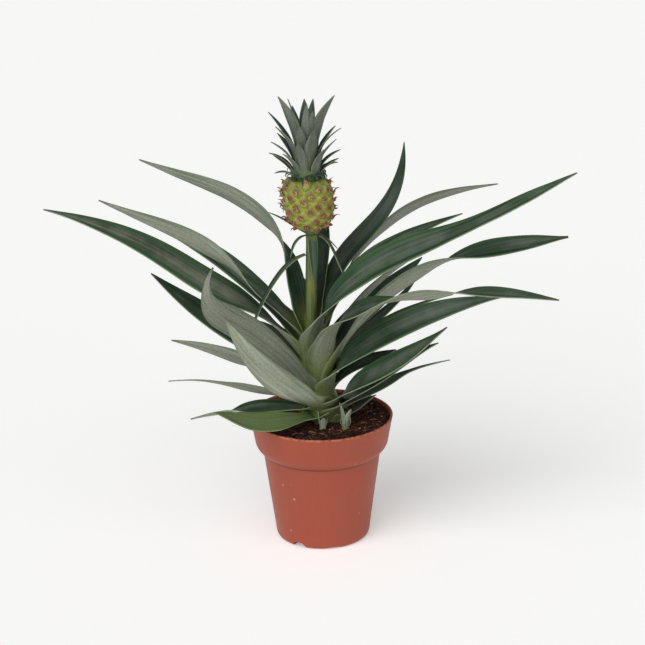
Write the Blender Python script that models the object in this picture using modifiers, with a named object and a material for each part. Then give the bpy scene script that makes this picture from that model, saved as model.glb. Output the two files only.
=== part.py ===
"""Potted pineapple plant: nursery pot, soil, stem, strap leaves, stalk, fruit and leafy tuft.

Every physical piece is its own object.  Metres, +Z up, origin on the ground under the pot's axis,
-Y toward the viewer.  Sizes below are in millimetres and degrees; MM turns them into metres.
"""
import bpy
import bmesh
import math
from mathutils import Vector

MM = 0.001
GAP = 0.4                 # clearance left wherever two pieces meet

# ---- pot ----------------------------------------------------------------------------------------
POT_HEIGHT = 109.0
RIM_RADIUS = 61.0         # outside, at the lip
BAND_RADIUS = 56.8        # outside, at the foot of the rim band
BODY_RADIUS = 50.2        # outside, just under the shoulder
FOOT_RADIUS = 40.4        # outside, where the foot corner starts
BAND_HEIGHT = 22.0        # straight part of the rim band
SHOULDER_HEIGHT = 9.5     # curved step between band and body
WALL = 1.4
RECESS = 1.2              # hollow ring under the floor, between middle pad and foot ring
FLOOR = 1.5
TURN_STEPS = 48           # facets round every turned piece
NOTCH_WIDTH = 13.0        # drainage openings through the foot corner
NOTCH_HEIGHT = 5.0
ARCH_HEIGHT = 1.6         # shallow arches between the feet
NOTCH_ANGLE = 238.0

# ---- soil ---------------------------------------------------------------------------------------
SOIL_DROP = 5.5           # soil below the lip at the wall
SOIL_MOUND = 2.5          # rise from the wall to the middle

# ---- stem, stalk, fruit, tuft -------------------------------------------------------------------
# centre line: (height above the soil, x, y)
AXIS = ((-26, 6, 0), (0, 6, 0), (17, 1.5, 0), (35, -2, 0), (62, -5, 0), (89, -7, 0), (128, -6.5, 0),
        (164, -5.5, 0), (206, -9, 0), (285, -9, 0))
STEM_TOP = 89.0
STUMP_DEPTH = 22.0
STEM_RADIUS = ((-22, 9), (-8, 12.5), (0, 13.5), (17, 13), (35, 11), (62, 8.4), (89, 6.0))
STALK_RADIUS = 4.8
FRUIT_FOOT = 168.0        # height of the fruit's lower end above the soil
FRUIT_LENGTH = 44.0
FRUIT_RADIUS = 20.5
# share of the fruit's length, share of its radius
FRUIT_OUTLINE = ((0, 0.30), (0.03, 0.48), (0.10, 0.70), (0.22, 0.88), (0.40, 0.98), (0.60, 1.0),
                 (0.78, 0.98), (0.90, 0.90), (0.97, 0.76), (1.0, 0.6))
TUFT_LENGTH = 45.0
TUFT_RADIUS = 10.5

# ---- leaves -------------------------------------------------------------------------------------
LEAF_THICKNESS = 1.1
LEAF_WIDTH = 1.0          # scale on every width below
LEAF_LENGTH = 1.0         # scale on every length below

# name, height of the root above the soil, side of the stem it grows from, length, width, bends.
# Each bend: percent of the length, rise above level, compass heading, roll about the midline.
# Headings and sides: 0 = +X, 90 = +Y.  Roll 0 = upper face up.
LEAVES = (
    ("leaf_left_1", 75, 146, 224, 20, ((0, 76, 150, 4), (12, 82, 150, 24), (25, 75, 153, 18),
                                       (33, 65, 156, -15), (40, 54, 160, -50), (50, 38, 160, -65),
                                       (60, 24, 161, -70), (75, 14, 163, -70), (100, 19, 165, -60))),
    ("leaf_left_2", 70, 180, 220, 19, ((0, 62, 176, 5), (12, 53, 180, 15), (25, 38, 186, 28),
                                       (36, 48, 191, 5), (46, 45, 195, -45), (60, 33, 197, -65),
                                       (75, 26, 198, -60), (100, 29, 200, -40))),
    ("leaf_left_3", 60, 156, 208, 18, ((0, 61, 153, 0), (12, 52, 153, 10), (25, 37, 153, 20),
                                       (40, 36, 153, 35), (50, 28, 154, 40), (75, 20, 155, 35),
                                       (100, 12, 156, 20))),
    ("leaf_left_4", 52, 179, 257, 26, ((0, 56, 179, -15), (12, 52, 178, -15), (20, 40, 177, -10),
                                       (28, 28, 177, 20), (36, 29, 177, 40), (50, 37, 176, 42),
                                       (75, 23, 176, 34), (100, 12, 175, 10))),
    ("leaf_left_5", 36, 162, 158, 25, ((0, 26, 160, 0), (25, 28, 163, 15), (50, 31, 166, 30),
                                       (75, 35, 168, 30), (100, 40, 169, 20))),
    ("leaf_left_6", 23, 228, 190, 26, ((0, 60, 232, 0), (12, 56, 231, -15), (25, 43, 230, -35),
                                       (50, 41, 224, -60), (65, 33, 219, -60), (80, 42, 217, -55),
                                       (88, 80, 215, -40), (100, 142, 215, 0))),
    ("leaf_left_7", 29, 187, 122, 19, ((0, 30, 187, 0), (25, 26, 188, -20), (50, 26, 188, -55),
                                       (100, 14, 186, -50))),
    ("leaf_left_8", 12, 244, 202, 23, ((0, 36, 249, 0), (25, 32, 248, -35), (50, 36, 243, -55),
                                       (75, 46, 237, -55), (100, 58, 232, -35))),
    ("leaf_left_9", 19, 208, 128, 12, ((0, 18, 205, 0), (25, 19, 202, -40), (50, 21, 200, -50),
                                       (75, 14, 200, -40), (100, 2, 200, -20))),
    ("leaf_left_10", 9, 196, 104, 16, ((0, 20, 202, 0), (25, 9, 198, 20), (50, -4, 192, 30),
                                       (62, -5, 190, -10), (75, -4, 188, -55), (100, -14, 185, -60))),
    ("leaf_left_11", 4, 232, 112, 20, ((0, 24, 232, 0), (25, 6, 222, 30), (50, 9, 216, 40),
                                       (75, 25, 212, 40), (100, 28, 210, 10))),
    ("leaf_right_1", 77, 64, 183, 17, ((0, 70, 50, 0), (12, 67, 47, 0), (25, 56, 44, -10),
                                       (40, 35, 40, -25), (50, 32, 38, -35), (60, 35, 37, -40),
                                       (75, 56, 36, -45), (90, 80, 36, -55), (100, 90, 40, -60))),
    ("leaf_right_2", 64, 66, 268, 17, ((0, 58, 62, 0), (12, 50, 56, 20), (25, 38, 52, 50),
                                       (40, 24, 48, 60), (50, 20, 46, 65), (60, 11, 44, 65),
                                       (75, 0, 40, 60), (100, -5, 38, 40))),
    ("leaf_right_3", 74, -8, 170, 15, ((0, 78, -2, 0), (25, 57, 24, -10), (50, 25, 25, -25),
                                       (75, 15, 22, -25), (100, 12, 20, -10))),
    ("leaf_right_4", 52, 270, 298, 27, ((0, 88, -95, 0), (6, 88, -72, 0), (12, 68, -40, -10),
                                        (25, 46, -20, -38), (40, 32, -14, -42), (50, 24, -10, -42),
                                        (60, 19, -7, -25), (70, 28, -4, -6), (85, 28, -2, -32),
                                        (100, 27, 0, -20))),
    ("leaf_right_5", 41, -16, 250, 23, ((0, 70, 0, 0), (25, 46, 11, 50), (50, 21, 12, 55),
                                        (62, 12, 13, 0), (75, 5, 14, -45), (100, 1, 15, -35))),
    ("leaf_right_6", 60, 20, 114, 14, ((0, 60, 30, 20), (25, 43, 31, 50), (50, 36, 33, 60),
                                       (100, 14, 35, 50))),
    ("leaf_right_7", 53, 48, 137, 22, ((0, 44, 45, 0), (25, 24, 45, -15), (50, 22, 45, -25),
                                       (100, 22, 45, -20))),
    ("leaf_right_8", 39, 72, 134, 14, ((0, 24, 60, 0), (25, 18, 48, 0), (50, 19, 42, 0),
                                       (80, 30, 36, 0), (100, 54, 33, 0))),
    ("leaf_right_9", 35, 22, 130, 14, ((0, 56, 21, 0), (25, 45, 19, 10), (50, 24, 18, 10),
                                       (100, 7, 15, 10))),
    ("leaf_right_10", 38, 284, 283, 23, ((0, 88, -78, 0), (6, 84, -72, 0), (12, 59, -64, 0),
                                         (20, 49, -52, 4), (31, 31, -40, -38), (40, 20, -37, -38),
                                         (50, 17, -35, 35), (64, 17, -32, 40), (78, 7, -30, -30),
                                         (100, -3, -26, -35))),
    ("leaf_right_11", 26, -52, 183, 24, ((0, 84, -50, 0), (25, 37, -10, -35), (50, 28, -6, -50),
                                         (75, 17, -5, -50), (100, 8, -4, -20))),
    ("leaf_right_12", 28, 10, 62, 15, ((0, 62, 8, 0), (25, 40, 8, -15), (50, 17, 8, -30),
                                       (100, 18, 8, -20))),
    ("leaf_right_13", 9, 297, 152, 23, ((0, 66, -66, 0), (12, 52, -52, -15), (25, 37, -40, -30),
                                        (50, 33, -32, -45), (75, 37, -28, -45), (100, 44, -24, -20))),
    ("leaf_right_14", 5.5, -58, 137, 20, ((0, 60, -50, 0), (25, 40, -38, -30), (50, 38, -36, -45),
                                          (75, 36, -34, -45), (100, 30, -32, -20))),
    ("leaf_right_15", 8, -14, 104, 13, ((0, 46, -12, 0), (25, 26, -7, -15), (50, 36, -6, -25),
                                        (75, 18, -5, -15), (100, 13, -5, 0))),
    ("leaf_right_16", 2, -14, 36, 8, ((0, 34, -14, 0), (50, 42, -18, -30), (100, 35, -18, -20))),
    ("leaf_middle", 84, 74, 122, 13, ((0, 73, 60, 0), (40, 78, 52, -5), (70, 85, 94, -10),
                                      (100, 84, 112, -20))),
    ("leaf_back_1", 47, 104, 112, 19, ((0, 58, 100, 0), (50, 28, 98, 5), (100, -8, 96, 0))),
    ("leaf_back_2", 26, 134, 104, 18, ((0, 50, 130, 0), (50, 22, 128, -5), (100, -14, 124, 0))),
    ("leaf_back_3", 20, 92, 98, 18, ((0, 45, 76, 0), (50, 16, 74, 0), (100, -12, 72, 0))),
)
BRACTS = (
    ("bract_front", 164, 266, 41, 9, ((0, -30, 280, 0), (12, -74, 284, 0), (100, -84, 284, 0))),
    ("bract_left_long", 146, 200, 88, 8, ((0, -10, 200, 0), (25, -46, 200, 0), (50, -57, 200, 0),
                                          (100, -75, 200, 0))),
    ("bract_left", 163, 206, 25, 4, ((0, 0, 206, 0), (30, -34, 206, 0), (60, -66, 206, 0),
                                     (100, -80, 206, 0))),
    ("bract_right_long", 163, -24, 46, 5, ((0, -10, -20, 0), (25, -56, -18, 0), (50, -66, -18, 0),
                                           (100, -68, -18, 0))),
    ("bract_right", 163, 20, 22, 7, ((0, -28, 15, 0), (50, -42, 12, 0), (100, -52, 10, 0))),
    ("bract_tip", 164, 165, 37, 4, ((0, 26, 168, 0), (40, 34, 170, 0), (100, 18, 170, 0))),
)
TUFT = (
    ("tuft_leaf_1", 19, 199, 54, 13, ((0, 96, 200, 0), (30, 82, 200, -20), (60, 68, 196, -35),
                                      (100, 58, 190, -35))),
    ("tuft_leaf_2", 20, 342, 54, 13, ((0, 97, 340, 0), (30, 82, 340, 20), (60, 64, 348, 35),
                                      (100, 54, 354, 35))),
    ("tuft_leaf_3", 11.7, 162, 48, 9, ((0, 86, 162, 0), (50, 58, 164, 0), (100, 47, 166, 0))),
    ("tuft_leaf_4", 23.8, 272, 42, 8.6, ((0, 88, 268, 0), (50, 84, 276, 0), (100, 78, 290, 0))),
    ("tuft_leaf_5", 23.4, 94, 40, 11, ((0, 92, 94, 0), (50, 82, 94, 0), (100, 76, 94, 0))),
    ("tuft_leaf_6", 17.1, 50, 41, 9, ((0, 84, 50, 0), (50, 62, 46, 0), (100, 54, 42, 0))),
    ("tuft_leaf_7", 10.8, 18, 35, 9, ((0, 88, 18, 0), (50, 60, 16, 0), (100, 46, 14, 0))),
    ("tuft_leaf_8", 7.2, 192, 32, 9, ((0, 84, 192, 0), (50, 48, 190, 0), (100, 32, 190, 0))),
    ("tuft_leaf_9", 7.2, 340, 33, 8, ((0, 86, 334, 0), (50, 54, 334, 0), (100, 42, 334, 0))),
    ("tuft_leaf_10", 16.2, 126, 42, 10, ((0, 86, 122, 0), (50, 74, 122, 0), (100, 68, 122, 0))),
    ("tuft_leaf_11", 11.5, 215, 41, 12, ((0, 88, 215, 0), (50, 58, 208, 0), (100, 46, 205, 0))),
    ("tuft_leaf_12", 10.8, 288, 35, 13, ((0, 83, 292, 0), (50, 76, 298, 0), (100, 70, 306, 0))),
    ("tuft_leaf_13", 1.8, 160, 23, 8, ((0, 60, 160, 0), (50, 38, 162, 0), (100, 24, 162, 0))),
    ("tuft_leaf_14", 1.8, 2, 21, 8, ((0, 66, 2, 0), (50, 38, 2, 0), (100, 24, 2, 0))),
    ("tuft_leaf_15", 5.4, 70, 35, 10, ((0, 84, 70, 0), (50, 56, 70, 0), (100, 40, 70, 0))),
)
# leaves whose outline is not the usual strap: (share of the length, share of the width)
OUTLINES = {
    "bract_front": ((0, 0.9), (0.2, 1), (0.5, 0.8), (0.8, 0.45), (1, 0.05)),
    "leaf_left_6": ((0, 0.5), (0.2, 0.68), (0.4, 0.88), (0.55, 1), (0.76, 1), (0.84, 0.6), (0.88, 0.3),
                    (0.93, 0.2), (1, 0.05)),
    "leaf_left_11": ((0, 0.4), (0.2, 0.6), (0.45, 1), (0.7, 0.9), (0.9, 0.5), (1, 0.05)),
    "leaf_left_9": ((0, 0.7), (0.3, 1), (0.5, 0.85), (0.64, 0.35), (1, 0.05)),
    "leaf_left_10": ((0, 0.6), (0.25, 1), (0.6, 0.9), (0.72, 0.4), (1, 0.05)),
    "leaf_right_5": ((0, 0.42), (0.12, 0.6), (0.3, 0.95), (0.5, 1), (0.72, 0.88), (0.88, 0.55), (1, 0.05)),
    "leaf_right_15": ((0, 0.7), (0.25, 1), (0.5, 0.8), (0.65, 0.3), (1, 0.05)),
}
# two small shoots in the soil: name, x, y, height, width, thickness, lean, heading
PUPS = (
    ("pup_right", 20, -25.4, 20, 8.6, 5, 8, 200),
    ("pup_front", 1, -24, 12, 7, 4.5, 8, 160),
)


# ==== shapes of grown pieces =====================================================================
SOIL_TOP = POT_HEIGHT - SOIL_DROP + SOIL_MOUND


def between(rows, at):
    """Values of a table at one place: rows are (place, value, value...)."""
    low = rows[0]
    for high in rows[1:]:
        if at <= high[0]:
            share = (at - low[0]) / (high[0] - low[0])
            return [a + (b - a) * min(max(share, 0.0), 1.0) for a, b in zip(low[1:], high[1:])]
        low = high
    return list(rows[-1][1:])


def axis_point(height):
    """Middle of the plant (mm) at a height above the soil."""
    x, y = between(AXIS, height)
    return Vector((x, y, SOIL_TOP + height))


def eased(rows, at):
    """Like between(), averaged over a short reach so that headings turn without a kink."""
    picks = [between(rows, min(max(at + d, 0.0), 100.0)) for d in (-8, -4, 0, 4, 8)]
    return [sum(p[i] for p in picks) / len(picks) for i in range(len(picks[0]))]


def blade_width(share, name=""):
    """Width of a strap leaf along its length (0 root, 1 tip), as a share of its full width."""
    if name in OUTLINES:
        return between(OUTLINES[name], share)[0]
    if share < 0.3:
        return 0.6 + 0.4 * math.sin(share / 0.3 * math.pi / 2)
    return max(1.0 - ((share - 0.3) / 0.7) ** 2.3, 0.0) * 0.95 + 0.05


def fruit_radius(height):
    """Radius of the fruit at a height above the soil, or 0 above and below it."""
    share = (height - FRUIT_FOOT) / FRUIT_LENGTH
    return FRUIT_RADIUS * between(FRUIT_OUTLINE, share)[0] if -0.05 < share < 1 else 0.0


def beside_fruit(point):
    """Moves a leaf's point outward where the fruit would touch the leaf."""
    height = point.z - SOIL_TOP
    off = point - axis_point(height)
    room = fruit_radius(height) + LEAF_THICKNESS / 2 + GAP
    near = math.hypot(off.x, off.y)
    if fruit_radius(height) and near < room:
        point = point + off * (room / near - 1)
    return point


def blade(start, length, width, bends, steps, across, cup, name=""):
    """Rows of points of a curved blade.  cup: half angle of its gutter at root, middle and tip."""
    rows, spot = [], Vector(start)
    reach = length / steps
    for i in range(steps + 1):
        share = i / steps
        rise, turn, roll = (math.radians(v) for v in eased(bends, share * 100))
        along = Vector((math.cos(rise) * math.cos(turn), math.cos(rise) * math.sin(turn), math.sin(rise)))
        side = Vector((math.sin(turn), -math.cos(turn), 0.0))
        face = side.cross(along)
        side, face = (side * math.cos(roll) + face * math.sin(roll),
                      face * math.cos(roll) - side * math.sin(roll))
        half = math.radians(between(((0, cup[0]), (0.35, cup[1]), (1, cup[2])), share)[0])
        radius = width * blade_width(share, name) / (2 * half)
        row = []
        for j in range(across + 1):
            angle = half * (2 * j / across - 1)
            row.append(beside_fruit(spot + side * (radius * math.sin(angle))
                                    + face * (radius * (1 - math.cos(angle)))))
        rows.append(row)
        if i < steps:
            rise, turn, roll = (math.radians(v) for v in eased(bends, (share + 0.5 / steps) * 100))
            spot = spot + reach * Vector((math.cos(rise) * math.cos(turn),
                                          math.cos(rise) * math.sin(turn), math.sin(rise)))
    return rows


def root_of(height, side, radius):
    """Point where a leaf leaves a stem of the given radius."""
    turn = math.radians(side)
    out = radius + 1.5 * GAP + LEAF_THICKNESS / 2
    return axis_point(height) + Vector((math.cos(turn), math.sin(turn), 0)) * out


def leaf_rows(leaf, steps=12, across=2):
    name, height, side, length, width, bends = leaf
    root = root_of(height, side, between(STEM_RADIUS, height)[0])
    return blade(root, length * LEAF_LENGTH, width * LEAF_WIDTH, bends, steps, across, (22, 20, 14), name)


def bract_rows(leaf, steps=8, across=2):
    name, height, side, length, width, bends = leaf
    return blade(root_of(height, side, STALK_RADIUS), length, width, bends, steps, across, (35, 25, 15))


def tuft_radius(height):
    """Radius of the tuft's middle at a height above the fruit."""
    share = min(max(height / TUFT_LENGTH, 0.0), 1.0)
    return TUFT_RADIUS * (1 - 0.75 * share ** 1.3)


def tuft_rows(leaf, steps=6, across=2):
    name, height, side, length, width, bends = leaf
    place = FRUIT_FOOT + FRUIT_LENGTH + GAP + height
    root = root_of(place, side, tuft_radius(height))
    return blade(root, length, width, bends, steps, across, (40, 28, 16))


# ==== modelling ==================================================================================
def start_clean():
    for thing in list(bpy.data.objects):
        bpy.data.objects.remove(thing, do_unlink=True)
    for label in ("potted_pineapple", "cutters"):
        group = bpy.data.collections.new(label)
        bpy.context.scene.collection.children.link(group)


def material(name, colour, roughness):
    mat = bpy.data.materials.new(name)
    mat.use_nodes = True
    shader = mat.node_tree.nodes["Principled BSDF"]
    shader.inputs["Base Color"].default_value = (*colour, 1.0)
    shader.inputs["Roughness"].default_value = roughness
    mat.diffuse_color = (*colour, 1.0)
    return mat


def add_object(name, verts, faces, colour, roughness=0.55, group="potted_pineapple", closed=True):
    mesh = bpy.data.meshes.new(name)
    mesh.from_pydata([tuple(c * MM for c in v) for v in verts], [], faces)
    if closed:
        shape = bmesh.new()
        shape.from_mesh(mesh)
        bmesh.ops.recalc_face_normals(shape, faces=shape.faces)
        shape.to_mesh(mesh)
        shape.free()
    for face in mesh.polygons:
        face.use_smooth = True
    body = bpy.data.objects.new(name, mesh)
    bpy.data.collections[group].objects.link(body)
    mesh.materials.append(material(name + "_colour", colour, roughness))
    return body


def turned(name, profile, colour, group="potted_pineapple"):
    """Round body from a profile of (radius, height) that starts and ends on the axis."""
    mesh = bpy.data.meshes.new(name)
    mesh.from_pydata([(r * MM, 0, z * MM) for r, z in profile], [(i, i + 1) for i in range(len(profile) - 1)],
                     [])
    body = bpy.data.objects.new(name, mesh)
    bpy.data.collections[group].objects.link(body)
    turn = body.modifiers.new("turn", "SCREW")
    turn.axis = "Z"
    turn.angle = math.tau
    turn.screw_offset = 0.0
    turn.steps = TURN_STEPS
    turn.render_steps = TURN_STEPS
    turn.use_merge_vertices = True
    turn.merge_threshold = 0.00001
    turn.use_normal_calculate = True
    turn.use_smooth_shade = True
    mesh.materials.append(material(name + "_colour", colour, 0.5))
    return body


def ring_body(name, rings, colour, roughness=0.55):
    """Closed body through rings of points, with a middle point at each end."""
    verts, faces, count = [], [], len(rings[0])
    for ring in rings:
        verts += ring
    for i in range(len(rings) - 1):
        for j in range(count):
            k = (j + 1) % count
            faces.append((i * count + j, i * count + k, (i + 1) * count + k, (i + 1) * count + j))
    low, high = len(verts), len(verts) + 1
    for ring in (rings[0], rings[-1]):
        verts.append(sum((Vector(p) for p in ring), Vector()) / count)
    for j in range(count):
        k = (j + 1) % count
        faces.append((low, k, j))
        top = (len(rings) - 1) * count
        faces.append((high, top + j, top + k))
    return add_object(name, verts, faces, colour, roughness)


def round_along_axis(heights_radii, count):
    """Level rings round the plant's centre line."""
    rings = []
    for height, radius in heights_radii:
        mid = axis_point(height)
        rings.append([mid + Vector((radius * math.cos(math.tau * j / count),
                                    radius * math.sin(math.tau * j / count), 0)) for j in range(count)])
    return rings


def strip(name, rows, colour):
    """Thin closed leaf from its rows of points."""
    across = len(rows[0])
    verts = [p for row in rows for p in row]
    faces = [(i * across + j, i * across + j + 1, (i + 1) * across + j + 1, (i + 1) * across + j)
             for i in range(len(rows) - 1) for j in range(across - 1)]
    body = add_object(name, verts, faces, colour, closed=False)
    thick = body.modifiers.new("thickness", "SOLIDIFY")
    thick.thickness = LEAF_THICKNESS * MM
    thick.offset = 0.0
    thick.use_even_offset = False
    return body


def cut(body, cutter):
    cutter.hide_render = True
    cutter.display_type = "WIRE"
    knife = body.modifiers.new("cut", "BOOLEAN")
    knife.operation = "DIFFERENCE"
    knife.solver = "EXACT"
    knife.object = cutter


def pot_outside():
    shoulder_foot = POT_HEIGHT - BAND_HEIGHT - SHOULDER_HEIGHT
    band_foot = POT_HEIGHT - BAND_HEIGHT
    step = BAND_RADIUS - BODY_RADIUS
    return [(FOOT_RADIUS - 4.4, 0.0), (FOOT_RADIUS - 1.9, 1.0), (FOOT_RADIUS - 0.5, 3.2), (FOOT_RADIUS, 7.0),
            (BODY_RADIUS - 0.1, shoulder_foot - 0.6), (BODY_RADIUS + 0.6, shoulder_foot + 0.2),
            (BODY_RADIUS + 0.3 * step, shoulder_foot + 0.18 * SHOULDER_HEIGHT),
            (BODY_RADIUS + 0.7 * step, shoulder_foot + 0.5 * SHOULDER_HEIGHT),
            (BODY_RADIUS + 0.93 * step, shoulder_foot + 0.8 * SHOULDER_HEIGHT), (BAND_RADIUS, band_foot),
            (RIM_RADIUS - 0.2, POT_HEIGHT - 1.2), (RIM_RADIUS - 0.1, POT_HEIGHT - 0.4),
            (RIM_RADIUS - 0.6, POT_HEIGHT)]


def pot_inside():
    """Inner wall from the floor up: the outside moved in by the wall."""
    wall = [(r - WALL, z + (WALL * 0.6 if 20 < z < POT_HEIGHT - BAND_HEIGHT else 0.0))
            for r, z in pot_outside()[3:-2]]
    floor = RECESS + FLOOR
    return [(0.0, floor), (FOOT_RADIUS - 5.0, floor), (FOOT_RADIUS - 2.6, floor + 1.6)] + wall


def make_pot():
    ring = FOOT_RADIUS - 9.0
    under = [(0.0, 0.0), (14.0, 0.0), (15.2, RECESS), (ring - 1.2, RECESS), (ring, 0.0)]
    inner = pot_inside()
    lip = [(RIM_RADIUS - WALL + 0.1, POT_HEIGHT)]
    pot = turned("pot", under + pot_outside() + lip + inner[::-1], (0.42, 0.12, 0.07))
    for i in range(8):
        deep = i % 4 == 0
        turn = math.radians(NOTCH_ANGLE + 45 * i)
        high = NOTCH_HEIGHT if deep else ARCH_HEIGHT
        wide = NOTCH_WIDTH if deep else 1.2 * NOTCH_WIDTH
        near, far = FOOT_RADIUS - 11.0, FOOT_RADIUS + 4.0
        if not deep:
            near = FOOT_RADIUS - 7.0
        outline = [(-0.5, -1.0), (-0.5, 0.0), (-0.36, 0.75), (-0.22, 1.0), (0.22, 1.0), (0.36, 0.75),
                   (0.5, 0.0), (0.5, -1.0)]
        verts = []
        for out in (near, far):
            for a, b in outline:
                x, y = out, a * wide
                verts.append((x * math.cos(turn) - y * math.sin(turn),
                              x * math.sin(turn) + y * math.cos(turn), b * high if b > 0 else b * 2))
        n = len(outline)
        faces = [tuple(range(n))[::-1], tuple(range(n, 2 * n))]
        faces += [(j, (j + 1) % n, n + (j + 1) % n, n + j) for j in range(n)]
        cutter = add_object("notch_cutter_%d" % i, verts, faces, (0.5, 0.5, 0.5), group="cutters")
        cut(pot, cutter)
    return pot


def make_soil():
    top = POT_HEIGHT - SOIL_DROP
    wall = [(r - GAP, z) for r, z in pot_inside()[2:] if z < top - 2.0]
    last_r, last_z = wall[-1]
    edge = last_r + (RIM_RADIUS - WALL - GAP - last_r) * (top - last_z) / (POT_HEIGHT - 1.2 - last_z) - 0.2
    floor = RECESS + FLOOR + GAP
    profile = [(0.0, floor), (FOOT_RADIUS - 5.2, floor)] + [(r, z + GAP) for r, z in wall]
    profile += [(edge, top), (edge * 0.75, top + 0.45 * SOIL_MOUND), (edge * 0.5, top + 0.9 * SOIL_MOUND),
                (edge * 0.25, top + SOIL_MOUND), (0.0, top + SOIL_MOUND)]
    soil = turned("soil", profile, (0.07, 0.03, 0.02))
    x, y = between(AXIS, 0)
    radius = STEM_RADIUS[2][1] + GAP
    verts = []
    for z in (SOIL_TOP - STUMP_DEPTH - GAP, SOIL_TOP + 5):
        verts += [(x + radius * math.cos(math.tau * j / 20) / math.cos(math.pi / 20),
                   y + radius * math.sin(math.tau * j / 20) / math.cos(math.pi / 20), z) for j in range(20)]
    faces = [tuple(range(20))[::-1], tuple(range(20, 40))]
    faces += [(j, (j + 1) % 20, 20 + (j + 1) % 20, 20 + j) for j in range(20)]
    cut(soil, add_object("stem_pocket_cutter", verts, faces, (0.5, 0.5, 0.5), group="cutters"))
    return soil


def make_stem_and_fruit():
    ring_body("stem", round_along_axis(STEM_RADIUS, 14), (0.16, 0.2, 0.06))
    low, high = STEM_TOP + GAP, FRUIT_FOOT - GAP
    steps = 5
    stalk = [(low + (high - low) * i / steps, STALK_RADIUS * (1.08 if i == 0 else 1.0))
             for i in range(steps + 1)]
    ring_body("fruit_stalk", round_along_axis(stalk, 12), (0.35, 0.42, 0.15))
    rind = [(FRUIT_FOOT + FRUIT_LENGTH * s, FRUIT_RADIUS * w) for s, w in FRUIT_OUTLINE]
    ring_body("fruit", round_along_axis(rind, 22), (0.45, 0.42, 0.08))
    foot = FRUIT_FOOT + FRUIT_LENGTH + GAP
    bud = [(foot + TUFT_LENGTH * s, tuft_radius(TUFT_LENGTH * s) * (1.0 if s < 0.9 else 0.5))
           for s in (0, 0.15, 0.35, 0.55, 0.75, 0.9, 1.0)]
    ring_body("tuft_core", round_along_axis(bud, 12), (0.14, 0.22, 0.12))


def make_leaves():
    for leaf in LEAVES:
        strip(leaf[0], leaf_rows(leaf), (0.06, 0.13, 0.06))
    for leaf in BRACTS:
        strip(leaf[0], bract_rows(leaf), (0.08, 0.16, 0.07))
    for leaf in TUFT:
        strip(leaf[0], tuft_rows(leaf), (0.10, 0.17, 0.11))


def soil_surface(x, y):
    """Highest level of the soil near a point off the middle."""
    edge = RIM_RADIUS - WALL - 1.5
    share = math.hypot(x, y) / edge
    rows = ((0.0, 1.0), (0.25, 1.0), (0.5, 0.9), (0.75, 0.45), (1.0, 0.0))
    return POT_HEIGHT - SOIL_DROP + SOIL_MOUND * between(rows, share)[0]


def make_pups():
    for name, x, y, height, width, thick, lean, turn in PUPS:
        foot = soil_surface(math.hypot(x, y) - width / 2, 0) + GAP
        a = math.radians(turn)
        rings = []
        for s, w in ((0, 0.62), (0.2, 0.85), (0.45, 1.0), (0.7, 0.8), (0.88, 0.42), (1.0, 0.08)):
            mid = Vector((x, y, foot + height * s))
            mid += Vector((math.cos(a), math.sin(a), 0)) * (math.tan(math.radians(lean)) * height * s)
            ring = []
            for j in range(10):
                b = math.tau * j / 10
                u, v = width / 2 * w * math.cos(b), thick / 2 * w * math.sin(b)
                ring.append(mid + Vector((u * 0.94 + v * 0.34, v * 0.94 - u * 0.34, 0)))
            rings.append(ring)
        ring_body(name, rings, (0.2, 0.25, 0.12))


def main():
    start_clean()
    make_pot()
    make_soil()
    make_stem_and_fruit()
    make_leaves()
    make_pups()


main()
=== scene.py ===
"""Potted pineapple plant: the finished surfaces, built round the packed model.

Laid out as an add-on: one operator for each group of pieces and one for the stage.
Lengths in the tables are millimetres and angles degrees; MM turns them into metres.
"""
import math
import random
from contextlib import contextmanager

import bmesh
import bpy
import numpy as np
from mathutils import Matrix, Vector, noise


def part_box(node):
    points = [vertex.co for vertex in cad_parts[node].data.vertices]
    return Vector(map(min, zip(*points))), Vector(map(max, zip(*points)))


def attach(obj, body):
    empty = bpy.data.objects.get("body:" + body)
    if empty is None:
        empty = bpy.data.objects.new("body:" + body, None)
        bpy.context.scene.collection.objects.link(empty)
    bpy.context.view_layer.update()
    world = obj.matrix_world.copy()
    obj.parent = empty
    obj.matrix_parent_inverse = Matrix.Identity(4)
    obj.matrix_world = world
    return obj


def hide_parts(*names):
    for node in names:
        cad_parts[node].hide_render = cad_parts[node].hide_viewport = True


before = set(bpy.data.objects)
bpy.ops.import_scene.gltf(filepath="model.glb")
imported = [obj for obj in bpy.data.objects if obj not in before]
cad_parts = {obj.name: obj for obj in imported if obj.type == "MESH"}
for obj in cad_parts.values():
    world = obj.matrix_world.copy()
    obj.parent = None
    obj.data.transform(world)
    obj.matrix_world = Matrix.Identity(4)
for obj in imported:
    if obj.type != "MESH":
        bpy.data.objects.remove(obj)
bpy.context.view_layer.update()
# a fixed seed, because the clock seeds noise_vector otherwise
noise.seed_set(1)

bl_info = {
    "name": "Potted pineapple plant",
    "version": (1, 0, 0),
    "blender": (4, 5, 0),
    "location": "3D View > Sidebar > Plant",
    "description": "Leaves, fruit, soil and nursery pot of a small pineapple plant",
    "category": "Add Mesh",
}

MM = 0.001
GOLDEN_ANGLE = math.pi * (3 - math.sqrt(5))
POT_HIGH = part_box("pot")[1]
FRUIT_LOW, FRUIT_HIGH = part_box("fruit")
SOIL_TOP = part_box("soil")[1].z / MM
POT_HEIGHT = POT_HIGH.z / MM
RIM_RADIUS = POT_HIGH.x / MM
BAND_RADIUS = 56.8
BODY_RADIUS = 50.2
FOOT_RADIUS = 40.4
BAND_HEIGHT = 22.0
SHOULDER_HEIGHT = 9.5
SHOULDER_FOOT = POT_HEIGHT - BAND_HEIGHT - SHOULDER_HEIGHT
BAND_SLOPE = (RIM_RADIUS - BAND_RADIUS) / BAND_HEIGHT
WALL = 1.4
FLOOR_TOP = 2.7
DRAIN_TURN = 238.0

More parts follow.
